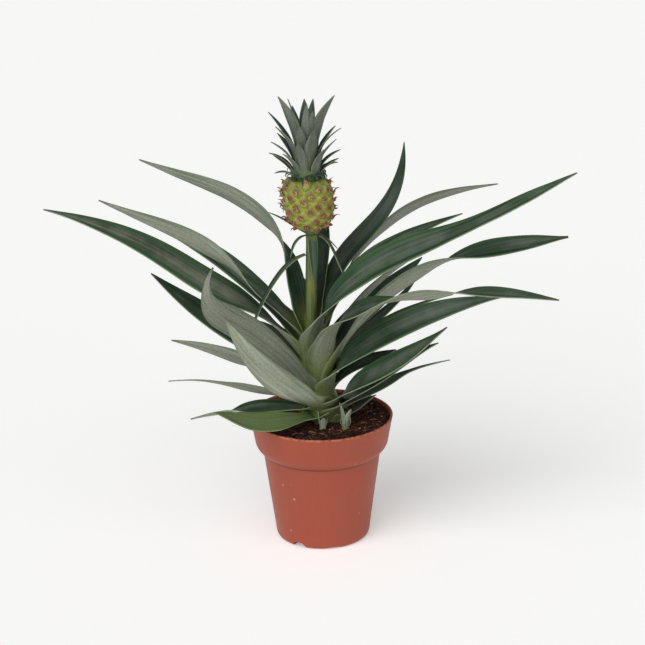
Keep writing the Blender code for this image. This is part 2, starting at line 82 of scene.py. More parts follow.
# middle line of the plant: (height above the soil, x, y)
AXIS = ((-26, 6, 0), (0, 6, 0), (17, 1.5, 0), (35, -2, 0), (62, -5, 0), (89, -7, 0), (128, -6.5, 0),
        (164, -5.5, 0), (206, -9, 0), (285, -9, 0))
STEM_RADIUS = ((-22, 9), (-8, 12.5), (0, 13.5), (17, 13), (35, 11), (62, 8.4), (89, 6.0))
STALK_RADIUS = 4.8
FRUIT_FOOT = FRUIT_LOW.z / MM - SOIL_TOP
FRUIT_LENGTH = (FRUIT_HIGH.z - FRUIT_LOW.z) / MM
FRUIT_RADIUS = 20.5
FRUIT_OUTLINE = ((0, 0.0), (0.012, 0.30), (0.03, 0.48), (0.10, 0.70), (0.22, 0.88), (0.40, 0.98),
                 (0.60, 1.0), (0.78, 0.98), (0.90, 0.90), (0.97, 0.76), (0.99, 0.6), (1.0, 0.0))
TUFT_LENGTH = 45.0
TUFT_RADIUS = 10.5

# name, height of the root above the soil, side of the stem it grows from, length, width, bends.
# Each bend: percent of the length, rise above level, compass heading, roll about the midline.
LEAVES = (
    ("leaf_left_1", 75, 146, 224, 20, (
        (0, 76, 150, 4), (12, 82, 150, 24), (25, 75, 153, 18), (33, 65, 156, -15), (40, 54, 160, -50),
        (50, 38, 160, -65), (60, 24, 161, -70), (75, 14, 163, -70), (100, 19, 165, -60))),
    ("leaf_left_2", 70, 180, 220, 19, (
        (0, 62, 176, 5), (12, 53, 180, 15), (25, 38, 186, 28), (36, 48, 191, 5), (46, 45, 195, -45),
        (60, 33, 197, -65), (75, 26, 198, -60), (100, 29, 200, -40))),
    ("leaf_left_3", 60, 156, 208, 18, (
        (0, 61, 153, 0), (12, 52, 153, 10), (25, 37, 153, 20), (40, 36, 153, 35), (50, 28, 154, 40),
        (75, 20, 155, 35), (100, 12, 156, 20))),
    ("leaf_left_4", 52, 179, 257, 26, (
        (0, 56, 179, -15), (12, 52, 178, -15), (20, 40, 177, -10), (28, 28, 177, 20), (36, 29, 177, 40),
        (50, 37, 176, 42), (75, 23, 176, 34), (100, 12, 175, 10))),
    ("leaf_left_5", 36, 162, 158, 25, (
        (0, 26, 160, 0), (25, 28, 163, 15), (50, 31, 166, 30), (75, 35, 168, 30), (100, 40, 169, 20))),
    ("leaf_left_6", 23, 228, 190, 26, (
        (0, 60, 232, 0), (12, 56, 231, -15), (25, 43, 230, -35), (50, 41, 224, -60), (65, 33, 219, -60),
        (80, 42, 217, -55), (88, 80, 215, -40), (100, 142, 215, 0))),
    ("leaf_left_7", 29, 187, 122, 19, (
        (0, 30, 187, 0), (25, 26, 188, -20), (50, 26, 188, -55), (100, 14, 186, -50))),
    ("leaf_left_8", 12, 244, 202, 23, (
        (0, 36, 249, 0), (25, 32, 248, -35), (50, 36, 243, -55), (75, 46, 237, -55), (100, 58, 232, -35))),
    ("leaf_left_9", 19, 208, 128, 12, (
        (0, 18, 205, 0), (25, 19, 202, -40), (50, 21, 200, -50), (75, 14, 200, -40), (100, 2, 200, -20))),
    ("leaf_left_10", 9, 196, 104, 16, (
        (0, 20, 202, 0), (25, 9, 198, 20), (50, -4, 192, 30), (62, -5, 190, -10), (75, -4, 188, -55),
        (100, -14, 185, -60))),
    ("leaf_left_11", 4, 232, 112, 20, (
        (0, 24, 232, 0), (25, 6, 222, 30), (50, 9, 216, 40), (75, 25, 212, 40), (100, 28, 210, 10))),
    ("leaf_right_1", 77, 64, 183, 17, (
        (0, 70, 50, 0), (12, 67, 47, 0), (25, 56, 44, -10), (40, 35, 40, -25), (50, 32, 38, -35),
        (60, 35, 37, -40), (75, 56, 36, -45), (90, 80, 36, -55), (100, 90, 40, -60))),
    ("leaf_right_2", 64, 66, 268, 17, (
        (0, 58, 62, 0), (12, 50, 56, 20), (25, 38, 52, 50), (40, 24, 48, 60), (50, 20, 46, 65),
        (60, 11, 44, 65), (75, 0, 40, 60), (100, -5, 38, 40))),
    ("leaf_right_3", 74, -8, 170, 15, (
        (0, 78, -2, 0), (25, 57, 24, -10), (50, 25, 25, -25), (75, 15, 22, -25), (100, 12, 20, -10))),
    ("leaf_right_4", 52, 270, 298, 27, (
        (0, 88, -95, 0), (6, 88, -72, 0), (12, 68, -40, -10), (25, 46, -20, -38), (40, 32, -14, -42),
        (50, 24, -10, -42), (60, 19, -7, -25), (70, 28, -4, -6), (85, 28, -2, -32), (100, 27, 0, -20))),
    ("leaf_right_5", 41, -16, 250, 23, (
        (0, 70, 0, 0), (25, 46, 11, 50), (50, 21, 12, 55), (62, 12, 13, 0), (75, 5, 14, -45),
        (100, 1, 15, -35))),
    ("leaf_right_6", 60, 20, 114, 14, (
        (0, 60, 30, 20), (25, 43, 31, 50), (50, 36, 33, 60), (100, 14, 35, 50))),
    ("leaf_right_7", 53, 48, 137, 22, (
        (0, 44, 45, 0), (25, 24, 45, -15), (50, 22, 45, -25), (100, 22, 45, -20))),
    ("leaf_right_8", 39, 72, 134, 14, (
        (0, 24, 60, 0), (25, 18, 48, 0), (50, 19, 42, 0), (80, 30, 36, 0), (100, 54, 33, 0))),
    ("leaf_right_9", 35, 22, 130, 14, (
        (0, 56, 21, 0), (25, 45, 19, 10), (50, 24, 18, 10), (100, 7, 15, 10))),
    ("leaf_right_10", 38, 284, 283, 23, (
        (0, 88, -78, 0), (6, 84, -72, 0), (12, 59, -64, 0), (20, 49, -52, 4), (31, 31, -40, -38),
        (40, 20, -37, -38), (50, 17, -35, 35), (64, 17, -32, 40), (78, 7, -30, -30), (100, -3, -26, -35))),
    ("leaf_right_11", 26, -52, 183, 24, (
        (0, 84, -50, 0), (25, 37, -10, -35), (50, 28, -6, -50), (75, 17, -5, -50), (100, 8, -4, -20))),
    ("leaf_right_12", 28, 10, 62, 15, (
        (0, 62, 8, 0), (25, 40, 8, -15), (50, 17, 8, -30), (100, 18, 8, -20))),
    ("leaf_right_13", 9, 297, 152, 23, (
        (0, 66, -66, 0), (12, 52, -52, -15), (25, 37, -40, -30), (50, 33, -32, -45), (75, 37, -28, -45),
        (100, 44, -24, -20))),
    ("leaf_right_14", 5.5, -58, 137, 20, (
        (0, 60, -50, 0), (25, 40, -38, -30), (50, 38, -36, -45), (75, 36, -34, -45), (100, 30, -32, -20))),
    ("leaf_right_15", 8, -14, 104, 13, (
        (0, 46, -12, 0), (25, 26, -7, -15), (50, 36, -6, -25), (75, 18, -5, -15), (100, 13, -5, 0))),
    ("leaf_right_16", 2, -14, 36, 8, ((0, 34, -14, 0), (50, 42, -18, -30), (100, 35, -18, -20))),
    ("leaf_middle", 84, 74, 122, 13, (
        (0, 73, 60, 0), (40, 78, 52, -5), (70, 85, 94, -10), (100, 84, 112, -20))),
    ("leaf_back_1", 47, 104, 112, 19, ((0, 58, 100, 0), (50, 28, 98, 5), (100, -8, 96, 0))),
    ("leaf_back_2", 26, 134, 104, 18, ((0, 50, 130, 0), (50, 22, 128, -5), (100, -14, 124, 0))),
    ("leaf_back_3", 20, 92, 98, 18, ((0, 45, 76, 0), (50, 16, 74, 0), (100, -12, 72, 0))),
)
BRACTS = (
    ("bract_front", 164, 266, 41, 9, ((0, -30, 280, 0), (12, -74, 284, 0), (100, -84, 284, 0))),
    ("bract_left_long", 146, 200, 88, 8, (
        (0, -10, 200, 0), (25, -46, 200, 0), (50, -57, 200, 0), (100, -75, 200, 0))),
    ("bract_left", 163, 206, 25, 4, (
        (0, 0, 206, 0), (30, -34, 206, 0), (60, -66, 206, 0), (100, -80, 206, 0))),
    ("bract_right_long", 163, -24, 46, 5, (
        (0, -10, -20, 0), (25, -56, -18, 0), (50, -66, -18, 0), (100, -68, -18, 0))),
    ("bract_right", 163, 20, 22, 7, ((0, -28, 15, 0), (50, -42, 12, 0), (100, -52, 10, 0))),
    ("bract_tip", 164, 165, 37, 4, ((0, 26, 168, 0), (40, 34, 170, 0), (100, 18, 170, 0))),
)
TUFT = (
    ("tuft_leaf_1", 19, 199, 54, 13, (
        (0, 96, 200, 0), (30, 82, 200, -20), (60, 68, 196, -35), (100, 58, 190, -35))),
    ("tuft_leaf_2", 20, 342, 54, 13, (
        (0, 97, 340, 0), (30, 82, 340, 20), (60, 64, 348, 35), (100, 54, 354, 35))),
    ("tuft_leaf_3", 11.7, 162, 48, 9, ((0, 86, 162, 0), (50, 58, 164, 0), (100, 47, 166, 0))),
    ("tuft_leaf_4", 23.8, 272, 42, 8.6, ((0, 88, 268, 0), (50, 84, 276, 0), (100, 78, 290, 0))),
    ("tuft_leaf_5", 23.4, 94, 40, 11, ((0, 92, 94, 0), (50, 82, 94, 0), (100, 76, 94, 0))),
    ("tuft_leaf_6", 17.1, 50, 41, 9, ((0, 84, 50, 0), (50, 62, 46, 0), (100, 54, 42, 0))),
    ("tuft_leaf_7", 10.8, 18, 35, 9, ((0, 88, 18, 0), (50, 60, 16, 0), (100, 46, 14, 0))),
    ("tuft_leaf_8", 7.2, 192, 32, 9, ((0, 84, 192, 0), (50, 48, 190, 0), (100, 32, 190, 0))),
    ("tuft_leaf_9", 7.2, 340, 33, 8, ((0, 86, 334, 0), (50, 54, 334, 0), (100, 42, 334, 0))),
    ("tuft_leaf_10", 16.2, 126, 42, 10, ((0, 86, 122, 0), (50, 74, 122, 0), (100, 68, 122, 0))),
    ("tuft_leaf_11", 11.5, 215, 41, 12, ((0, 88, 215, 0), (50, 58, 208, 0), (100, 46, 205, 0))),
    ("tuft_leaf_12", 10.8, 288, 35, 13, ((0, 83, 292, 0), (50, 76, 298, 0), (100, 70, 306, 0))),
    ("tuft_leaf_13", 1.8, 160, 23, 8, ((0, 60, 160, 0), (50, 38, 162, 0), (100, 24, 162, 0))),
    ("tuft_leaf_14", 1.8, 2, 21, 8, ((0, 66, 2, 0), (50, 38, 2, 0), (100, 24, 2, 0))),
    ("tuft_leaf_15", 5.4, 70, 35, 10, ((0, 84, 70, 0), (50, 56, 70, 0), (100, 40, 70, 0))),
)
# leaves whose outline is not the usual strap: (share of the length, share of the width)
OUTLINES = {
    "bract_front": ((0, 0.9), (0.2, 1), (0.5, 0.8), (0.8, 0.45), (1, 0.03)),
    "leaf_left_6": ((0, 0.5), (0.2, 0.68), (0.4, 0.88), (0.55, 1), (0.76, 1), (0.84, 0.6), (0.88, 0.3),
                    (0.93, 0.2), (1, 0.03)),
    "leaf_left_11": ((0, 0.4), (0.2, 0.6), (0.45, 1), (0.7, 0.9), (0.9, 0.5), (1, 0.03)),
    "leaf_left_9": ((0, 0.7), (0.3, 1), (0.5, 0.85), (0.64, 0.35), (1, 0.03)),
    "leaf_left_10": ((0, 0.6), (0.25, 1), (0.6, 0.9), (0.72, 0.4), (1, 0.03)),
    "leaf_right_5": ((0, 0.42), (0.12, 0.6), (0.3, 0.95), (0.5, 1), (0.72, 0.88), (0.88, 0.55), (1, 0.03)),
    "leaf_right_15": ((0, 0.7), (0.25, 1), (0.5, 0.8), (0.65, 0.3), (1, 0.03)),
}
# minor leaves of the tuft that fill the gaps between the large ones
TUFT_FILL = (
    ("fill_1", 27, 300, 32, 8, ((0, 90, 300, 0), (50, 80, 300, 0), (100, 74, 300, 0))),
    ("fill_2", 24, 225, 36, 8, ((0, 92, 225, 0), (50, 76, 222, 0), (100, 70, 220, 0))),
    ("fill_3", 27, 180, 40, 8, ((0, 92, 180, 0), (50, 78, 180, 0), (100, 72, 180, 0))),
    ("fill_4", 28, 60, 36, 9, ((0, 90, 60, 0), (50, 80, 60, 0), (100, 74, 60, 0))),
    ("fill_5", 5, 250, 30, 11, ((0, 84, 250, 0), (50, 74, 250, 0), (100, 66, 250, 0))),
    ("fill_6", 3, 310, 27, 10, ((0, 80, 310, 0), (50, 66, 314, 0), (100, 54, 316, 0))),
    ("fill_7", 14, 250, 34, 11, ((0, 88, 250, 0), (50, 80, 252, 0), (100, 72, 254, 0))),
    ("fill_8", 4, 230, 27, 8, ((0, 78, 226, 0), (50, 50, 220, 0), (100, 36, 218, 0))),
    ("fill_9", 4, 12, 26, 7, ((0, 78, 12, 0), (50, 40, 10, 0), (100, 22, 8, 0))),
    ("fill_10", 14, 350, 36, 7, ((0, 84, 350, 0), (50, 52, 348, 0), (100, 34, 346, 0))),
    ("fill_11", 4, 178, 27, 6, ((0, 74, 178, 0), (50, 36, 176, 0), (100, 14, 174, 0))),
    ("fill_12", 9, 152, 31, 8, ((0, 82, 152, 0), (50, 52, 150, 0), (100, 40, 148, 0))),
    ("fill_13", 4, 110, 29, 10, ((0, 82, 110, 0), (50, 62, 112, 0), (100, 50, 114, 0))),
    ("fill_14", 16, 92, 36, 10, ((0, 88, 92, 0), (50, 74, 92, 0), (100, 66, 92, 0))),
    ("fill_15", 20, 20, 38, 8, ((0, 88, 20, 0), (50, 72, 20, 0), (100, 64, 20, 0))),
    ("fill_16", 1, 214, 22, 6, ((0, 56, 214, 0), (50, 18, 212, 0), (100, -8, 210, 0))),
    ("fill_17", 1, 30, 22, 6, ((0, 56, 30, 0), (50, 16, 34, 0), (100, -12, 36, 0))),
)
# how light a leaf is and how much pinkish bloom runs down its middle, partly a painted highlight stripe
# (leaf_left_4's high share is mostly painted highlight); most are (0.5, 0.3)
LEAF_LOOKS = {
    "leaf_left_4": (0.8, 0.9), "leaf_left_11": (1.6, 0.0), "leaf_left_3": (0.5, 0.35),
    "leaf_right_4": (0.75, 0.3), "leaf_right_1": (0.1, 0.1), "leaf_middle": (0.15, 0.0),
    "leaf_right_3": (0.5, 0.4), "leaf_right_7": (0.05, 0.0), "leaf_left_6": (0.2, 0.1),
    "leaf_right_12": (0.1, 0.0), "leaf_right_11": (0.6, 0.25), "leaf_right_15": (0.4, 0.0),
    "leaf_left_2": (0.6, 0.7), "leaf_left_8": (0.8, 0.4), "leaf_right_2": (0.25, 0.2),
    "leaf_left_10": (0.8, 0.2), "leaf_right_14": (0.35, 0.2), "leaf_left_1": (0.5, 0.1),
}
# young shoots in the soil: name, x, y, length, heading of the first leaf
SHOOTS = (("pup_right", 20, -25.4, 24, 200), ("pup_front", 1, -24, 15, 160))
# studio, in metres
FLOOR_RADIUS = 7.0
LAMP_AIM = Vector((0, 0, 0.18))
LAMP_SPREAD = math.radians(55)
CAMERA_AIM = Vector((0.0022, 0.0, 0.1915))
CAMERA_TILT = math.radians(-0.9)
USUAL_LOOKS = (0.5, 0.3)
# sheath of a leaf that clasps the stem: its reach below the root, the share of the leaf over which
# it opens, and the half angle that it wraps
COLLAR = 9.0
GRIP_SHARE = 0.16
GRIP_ANGLE = math.radians(72)


# ==== modelling steps that every group uses ======================================================
def fresh(primitive, name, **settings):
    """Adds a primitive with nothing else selected, names it and returns it."""
    bpy.ops.object.select_all(action="DESELECT")
    primitive(**settings)
    piece = bpy.context.object
    piece.name = name
    return piece


@contextmanager
def editing():
    """Edit mode, with all of the piece selected at the start."""
    bpy.ops.object.mode_set(mode="EDIT")
    bpy.ops.mesh.select_all(action="SELECT")
    yield
    bpy.ops.object.mode_set(mode="OBJECT")


def cut_across(places, axis):
    """Adds an edge ring across the piece being edited at each place along an axis."""
    for place in places:
        bpy.ops.mesh.bisect(plane_co=Vector(axis) * place, plane_no=axis)
        bpy.ops.mesh.select_all(action="SELECT")


def thicken(piece, thickness, back_skin=0):
    """Gives a sheet its thickness (mm), half to each side, and its back and rim another skin."""
    thick = piece.modifiers.new("thickness", "SOLIDIFY")
    thick.thickness = thickness * MM
    thick.offset = 0.0
    thick.material_offset = back_skin
    thick.material_offset_rim = back_skin
    bpy.ops.object.modifier_apply(modifier="thickness")


def placed(name, model, matrices, shades):
    """One mesh of many copies of a small model, each with its own number in "shade"."""
    shape = bmesh.new()
    layer = shape.verts.layers.float.new("shade")
    for matrix, shade in zip(matrices, shades):
        first = len(shape.verts)
        shape.from_mesh(model.data)
        shape.verts.ensure_lookup_table()
        copy = shape.verts[first:]
        bmesh.ops.transform(shape, matrix=matrix, verts=copy)
        for vert in copy:
            vert[layer] = shade
    mesh = bpy.data.meshes.new(name)
    shape.to_mesh(mesh)
    shape.free()
    piece = bpy.data.objects.new(name, mesh)
    bpy.context.scene.collection.objects.link(piece)
    bpy.data.objects.remove(model, do_unlink=True)
    return piece


def scaled(size):
    return Matrix.Diagonal((size, size, size, 1))


def finish(piece, mat, slot, *nodes):
    """Gives a piece its material and its body, and hides the CAD nodes that it stands for; slot is not used.
    """
    if mat:
        piece.data.materials.clear()
        piece.data.materials.append(mat)
    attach(piece, "root")
    if nodes:
        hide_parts(*nodes)
    return piece


# ==== shapes of grown pieces =====================================================================
def between(rows, at):
    """Values of a table at one place: rows are (place, value, value...)."""
    low = rows[0]
    for high in rows[1:]:
        if at <= high[0]:
            share = (at - low[0]) / (high[0] - low[0])
            return [a + (b - a) * min(max(share, 0.0), 1.0) for a, b in zip(low[1:], high[1:])]
        low = high
    return list(rows[-1][1:])


def axis_point(height):
    """Middle of the plant at a height above the soil."""
    x, y = between(AXIS, height)
    return Vector((x, y, SOIL_TOP + height))


def level_way(turn):
    """Level direction at a compass heading, in radians."""
    return Vector((math.cos(turn), math.sin(turn), 0))


def beside_axis(height, side, out):
    """Point at a height above the soil and a distance out from the plant's middle on one side."""
    return axis_point(height) + level_way(math.radians(side)) * out


def eased(rows, at):
    """Like between(), averaged over a short reach so that headings turn without a kink."""
    picks = [between(rows, min(max(at + d, 0.0), 100.0)) for d in (-8, -4, 0, 4, 8)]
    return [sum(p[i] for p in picks) / len(picks) for i in range(len(picks[0]))]


def blade_width(share, name):
    """Width of a leaf along its length (0 root, 1 tip), as a share of its full width."""
    if name in OUTLINES:
        return sum(between(OUTLINES[name], share + d)[0] for d in (-0.03, 0, 0.03)) / 3
    if share < 0.3:
        return 0.6 + 0.4 * math.sin(max(share, 0.0) / 0.3 * math.pi / 2)
    return max(1.0 - ((share - 0.3) / 0.7) ** 2.3, 0.0) * 0.97 + 0.03


def heading(rise, turn):
    return Vector((math.cos(rise) * math.cos(turn), math.cos(rise) * math.sin(turn), math.sin(rise)))


def tuft_radius(height):
    """Radius of the tuft's middle at a height above the fruit."""
    share = min(max(height / TUFT_LENGTH, 0.0), 1.0)
    return TUFT_RADIUS * (1 - 0.75 * share ** 1.3)


def midline(root, leaf, steps, collar):
    """Points along a leaf's middle, the rise, heading and roll at each, and how many are sheath."""
    bends = leaf[5]
    step = leaf[3] / steps
    below = math.ceil(collar / step)
    spots = [Vector(root)]
    for i in range(steps):
        rise, turn, roll = (math.radians(v) for v in eased(bends, (i + 0.5) / steps * 100))
        spots.append(spots[-1] + step * heading(rise, turn))
    turns = [[math.radians(v) for v in eased(bends, i / steps * 100)] for i in range(steps + 1)]
    first_rise, first_turn, first_roll = turns[0]
    for i in range(below):
        share = (i + 1) / below
        rise = first_rise + (math.pi / 2 - first_rise) * share
        spots.insert(0, spots[0] - step * heading(rise, first_turn))
        turns.insert(0, [rise, first_turn, first_roll * (1 - share)])
    return spots, turns, below


def blade(name, skins, root, leaf, steps, across, cup, clasp=0.0, thickness=0.9, wave=0.3, looks=USUAL_LOOKS):
    """One curved leaf: a grid bent along its midline, with a gutter and thin edges.

    cup: half angle of the gutter at root, middle and tip.  clasp: radius (mm) of what the root
    wraps round, or 0.  Its map attribute holds edge, place along, lightness and pinkish bloom, partly a
    painted highlight.
    """
    length, width = leaf[3:5]
    gutter = tuple(zip((0, 0.35, 1), cup))
    seed = sum(ord(c) * (i + 7) for i, c in enumerate(name)) % 997
    spots, turns, below = midline(root, leaf, steps, COLLAR if clasp else 0.0)
    rows = len(spots) - 1
    piece = fresh(bpy.ops.mesh.primitive_grid_add, name, x_subdivisions=across, y_subdivisions=rows, size=1.0)
    mesh = piece.data
    looks_map = mesh.attributes.new("leaf_map", "FLOAT_COLOR", "POINT")
    flat = []
    for vert in mesh.vertices:
        i, j = round((vert.co.y + 0.5) * rows), round((vert.co.x + 0.5) * across)
        share = (i - below) / steps
        rise, turn, roll = turns[i]
        side = Vector((math.sin(turn), -math.cos(turn), 0.0))
        face = side.cross(heading(rise, turn))
        side, face = (side * math.cos(roll) + face * math.sin(roll),
                      face * math.cos(roll) - side * math.sin(roll))
        half = math.radians(between(gutter, max(share, 0))[0])
        radius = width * blade_width(share, leaf[0]) / (2 * half)
        if clasp and share < GRIP_SHARE:
            grip = 1 - max(share, 0.0) / GRIP_SHARE
            grip = grip * grip * (3 - 2 * grip)
            half += (GRIP_ANGLE - half) * grip
            radius += (clasp - radius) * grip
        place = 2 * j / across - 1
        angle = half * place
        ripple = noise.noise(Vector((share * length / 22, place * 0.4, seed))) * wave * place * place
        dip = radius * (1 - math.cos(angle)) + ripple
        vert.co = (spots[i] + side * (math.sin(angle) * radius) + face * dip) * MM
        looks_map.data[vert.index].color = (abs(place), max(share, 0.0), *looks)
        flat.append((angle * radius * MM, share * length * MM + seed * 0.1))
    for loop in mesh.loops:
        mesh.uv_layers.active.data[loop.index].uv = flat[loop.vertex_index]
    for skin in skins:
        mesh.materials.append(skin)
    thicken(piece, thickness, back_skin=1)
    mesh.shade_smooth()
    return piece


# ==== materials ==================================================================================
def linear(hex_colour):
    """An sRGB hex colour as linear red, green, blue and alpha."""
    parts = [int(hex_colour[i:i + 2], 16) / 255 for i in (1, 3, 5)]
    return tuple(c / 12.92 if c <= 0.04045 else ((c + 0.055) / 1.055) ** 2.4 for c in parts) + (1.0,)


def node(tree, kind, inputs=(), stops=(), **settings):
    """Adds a node: a value or a linked output for each input, (place, hex) stops, and settings."""
    made = tree.nodes.new("ShaderNode" + kind)
    for name, value in settings.items():
        setattr(made, name, value)
    for socket, value in dict(inputs).items():
        if isinstance(value, bpy.types.NodeSocket):
            tree.links.new(value, made.inputs[socket])
        else:
            made.inputs[socket].default_value = value
    for at, colour in stops:
        ramp = made.color_ramp.elements
        stop = ramp.new(at) if 0 < at < 1 else ramp[-1 if at else 0]
        stop.color = linear(colour)
    return made


def new_material(name, roughness, ior=1.45):
    """A material, its node tree, its shader and the place that its patterns read."""
    mat = bpy.data.materials.new(name)
    mat.use_nodes = True
    tree = mat.node_tree
    shader = tree.nodes["Principled BSDF"]
    shader.inputs["Roughness"].default_value = roughness
    shader.inputs["IOR"].default_value = ior
    return mat, tree, shader, node(tree, "TexCoord").outputs["Object"]


def surface(tree, shader, colour, relief, shine=None):
    """Gives a shader its colour, its relief (the inputs of a bump) and any varying roughness."""
    bump = node(tree, "Bump", relief).outputs[0]
    for output, socket in ((colour, "Base Color"), (bump, "Normal"), (shine, "Roughness")):
        if output is not None:
            tree.links.new(output, shader.inputs[socket])


def leaf_material(name, dark, light, margin, base, bloom, rough, bloom_share, vein_depth, scurf):
    """A pineapple leaf's face: waxy skin over parallel veins, pale scurf and a lighter margin.

    Fine lengthwise streaks, a greyish bloom down the middle, a green band and a thin pale line at
    each edge, yellow-green at the root.  Veins are 0.7 mm apart in life; the streaks are drawn at
    about 1.6 mm so that they show.
    """
    mat, tree, shader, place = new_material(name, rough, 1.36)
    zones = node(tree, "Attribute", attribute_name="leaf_map")
    edge, along, lightness = node(tree, "SeparateColor", {0: zones.outputs["Color"]}).outputs
    # alpha of the leaf map: share of pinkish bloom, which is partly a painted highlight stripe
    bloom_and_highlight_share = zones.outputs["Alpha"]
    flat = node(tree, "UVMap").outputs[0]
    wide = node(tree, "Mapping", {0: flat, 3: (400, 9, 1)}).outputs[0]
    fine = node(tree, "Mapping", {0: flat, 3: (1100, 9, 1)}).outputs[0]
    streak, vein, cloud, grit = (
        node(tree, "TexNoise", {"Vector": at, "Scale": scale, "Detail": detail,
                                "Roughness": broken}).outputs[0]
        for at, scale, detail, broken in ((wide, 1, 3, 0.6), (fine, 1, 2, 0.5), (place, 38, 3, 0.5),
                                          (place, 750, 3, 0.7)))

    # each row: a source, its low and high ends, and what those ends become
    shares = {}
    for coat, row in {
        "streak": (streak, 0.34, 0.7, 0, 1),
        "patch": (cloud, 0.35, 0.62, 0, 1),
        "drift": (cloud, 0.4, 0.6, 0.5, 1),
        "line": (edge, 0.955, 1.0, 0, 0.32),
        "tip": (along, 0.95, 1.0, 0, 0.6),
        "pale": (lightness, 1.0, 2.0, 0, 1),
        "level": (lightness, 0.0, 1.0, 0.7, 1.5),
        "grit": (grit, 0.35, 0.65, 1 - scurf, 1 + scurf),
        "shine": (cloud, 0.3, 0.7, rough - 0.06, rough + 0.1),
    }.items():
        shares[coat] = node(tree, "MapRange", dict(enumerate(row))).outputs[0]
    for coat, row in {
        "dusty": (edge, 0.85, 0.1, 0, 1),
        # pinkish bloom down the middle, partly a painted highlight stripe
        "pink_bloom_and_highlight": (edge, 0.75, 0.1, 0, 1),
        "band": (edge, 0.7, 1.0, 0, 0.55),
        "root": (along, 0.16, 0.0, 0, 0.85),
    }.items():
        shares[coat] = node(tree, "MapRange", dict(enumerate(row)),
                            interpolation_type="SMOOTHSTEP").outputs[0]
    shares["thin"] = node(tree, "MapRange", {0: shares["streak"], 3: 0.25, 4: 0.6}).outputs[0]
    for coat, factors in (("dusty", (shares["patch"], bloom_share)),
                          ("pink_bloom_and_highlight", (bloom_and_highlight_share, shares["thin"], shares["drift"])),
                          ("level", (shares["grit"],))):
        for factor in factors:
            shares[coat] = node(tree, "Math", {0: shares[coat], 1: factor}, operation="MULTIPLY").outputs[0]

    body = dark
    # the pinkish bloom colour is partly real bloom and partly a painted highlight stripe
    for coat, colour in (("streak", light), ("dusty", bloom), ("pink_bloom_and_highlight", linear("#7d7462")), ("band", margin),
                         ("line", linear("#8a9474")), ("root", base), ("tip", linear("#4a4236")),
                         ("pale", linear("#5f6c40"))):
        body = node(tree, "Mix", {0: shares[coat], 6: body, 7: colour}, data_type="RGBA").outputs[2]
    body = node(tree, "HueSaturation", {"Color": body, "Value": shares["level"]}).outputs[0]
    surface(tree, shader, body, {"Height": vein, "Strength": vein_depth, "Distance": 0.0006}, shares["shine"])
    return mat


def leaf_skins(looks):
    """Upper and lower face of a strap leaf: deep green wax above, pale grey scurf below."""
    return [leaf_material("leaf_upper_waxy", looks.leaf_dark, looks.leaf_light, looks.leaf_margin,
                          looks.leaf_base, linear("#57655a"), 0.42, 0.5, 0.5, 0.1),
            leaf_material("leaf_lower_scurfy", linear("#67715f"), looks.leaf_under, linear("#606e56"),
                          looks.leaf_base, linear("#8d9183"), 0.62, 0.4, 0.6, 0.2)]


def tuft_skins():
    """Upper and lower face of a tuft leaf: greyer wax above, darker scurf below."""
    return [leaf_material("tuft_leaf_upper_waxy", linear("#23392f"), linear("#3a5547"), linear("#4d6a55"),
                          linear("#6f8746"), linear("#4f5f58"), 0.45, 0.4, 0.5, 0.1),
            leaf_material("tuft_leaf_lower_scurfy", linear("#535b4d"), linear("#71776a"), linear("#656e60"),
                          linear("#52662f"), linear("#777a6f"), 0.62, 0.5, 0.6, 0.2)]


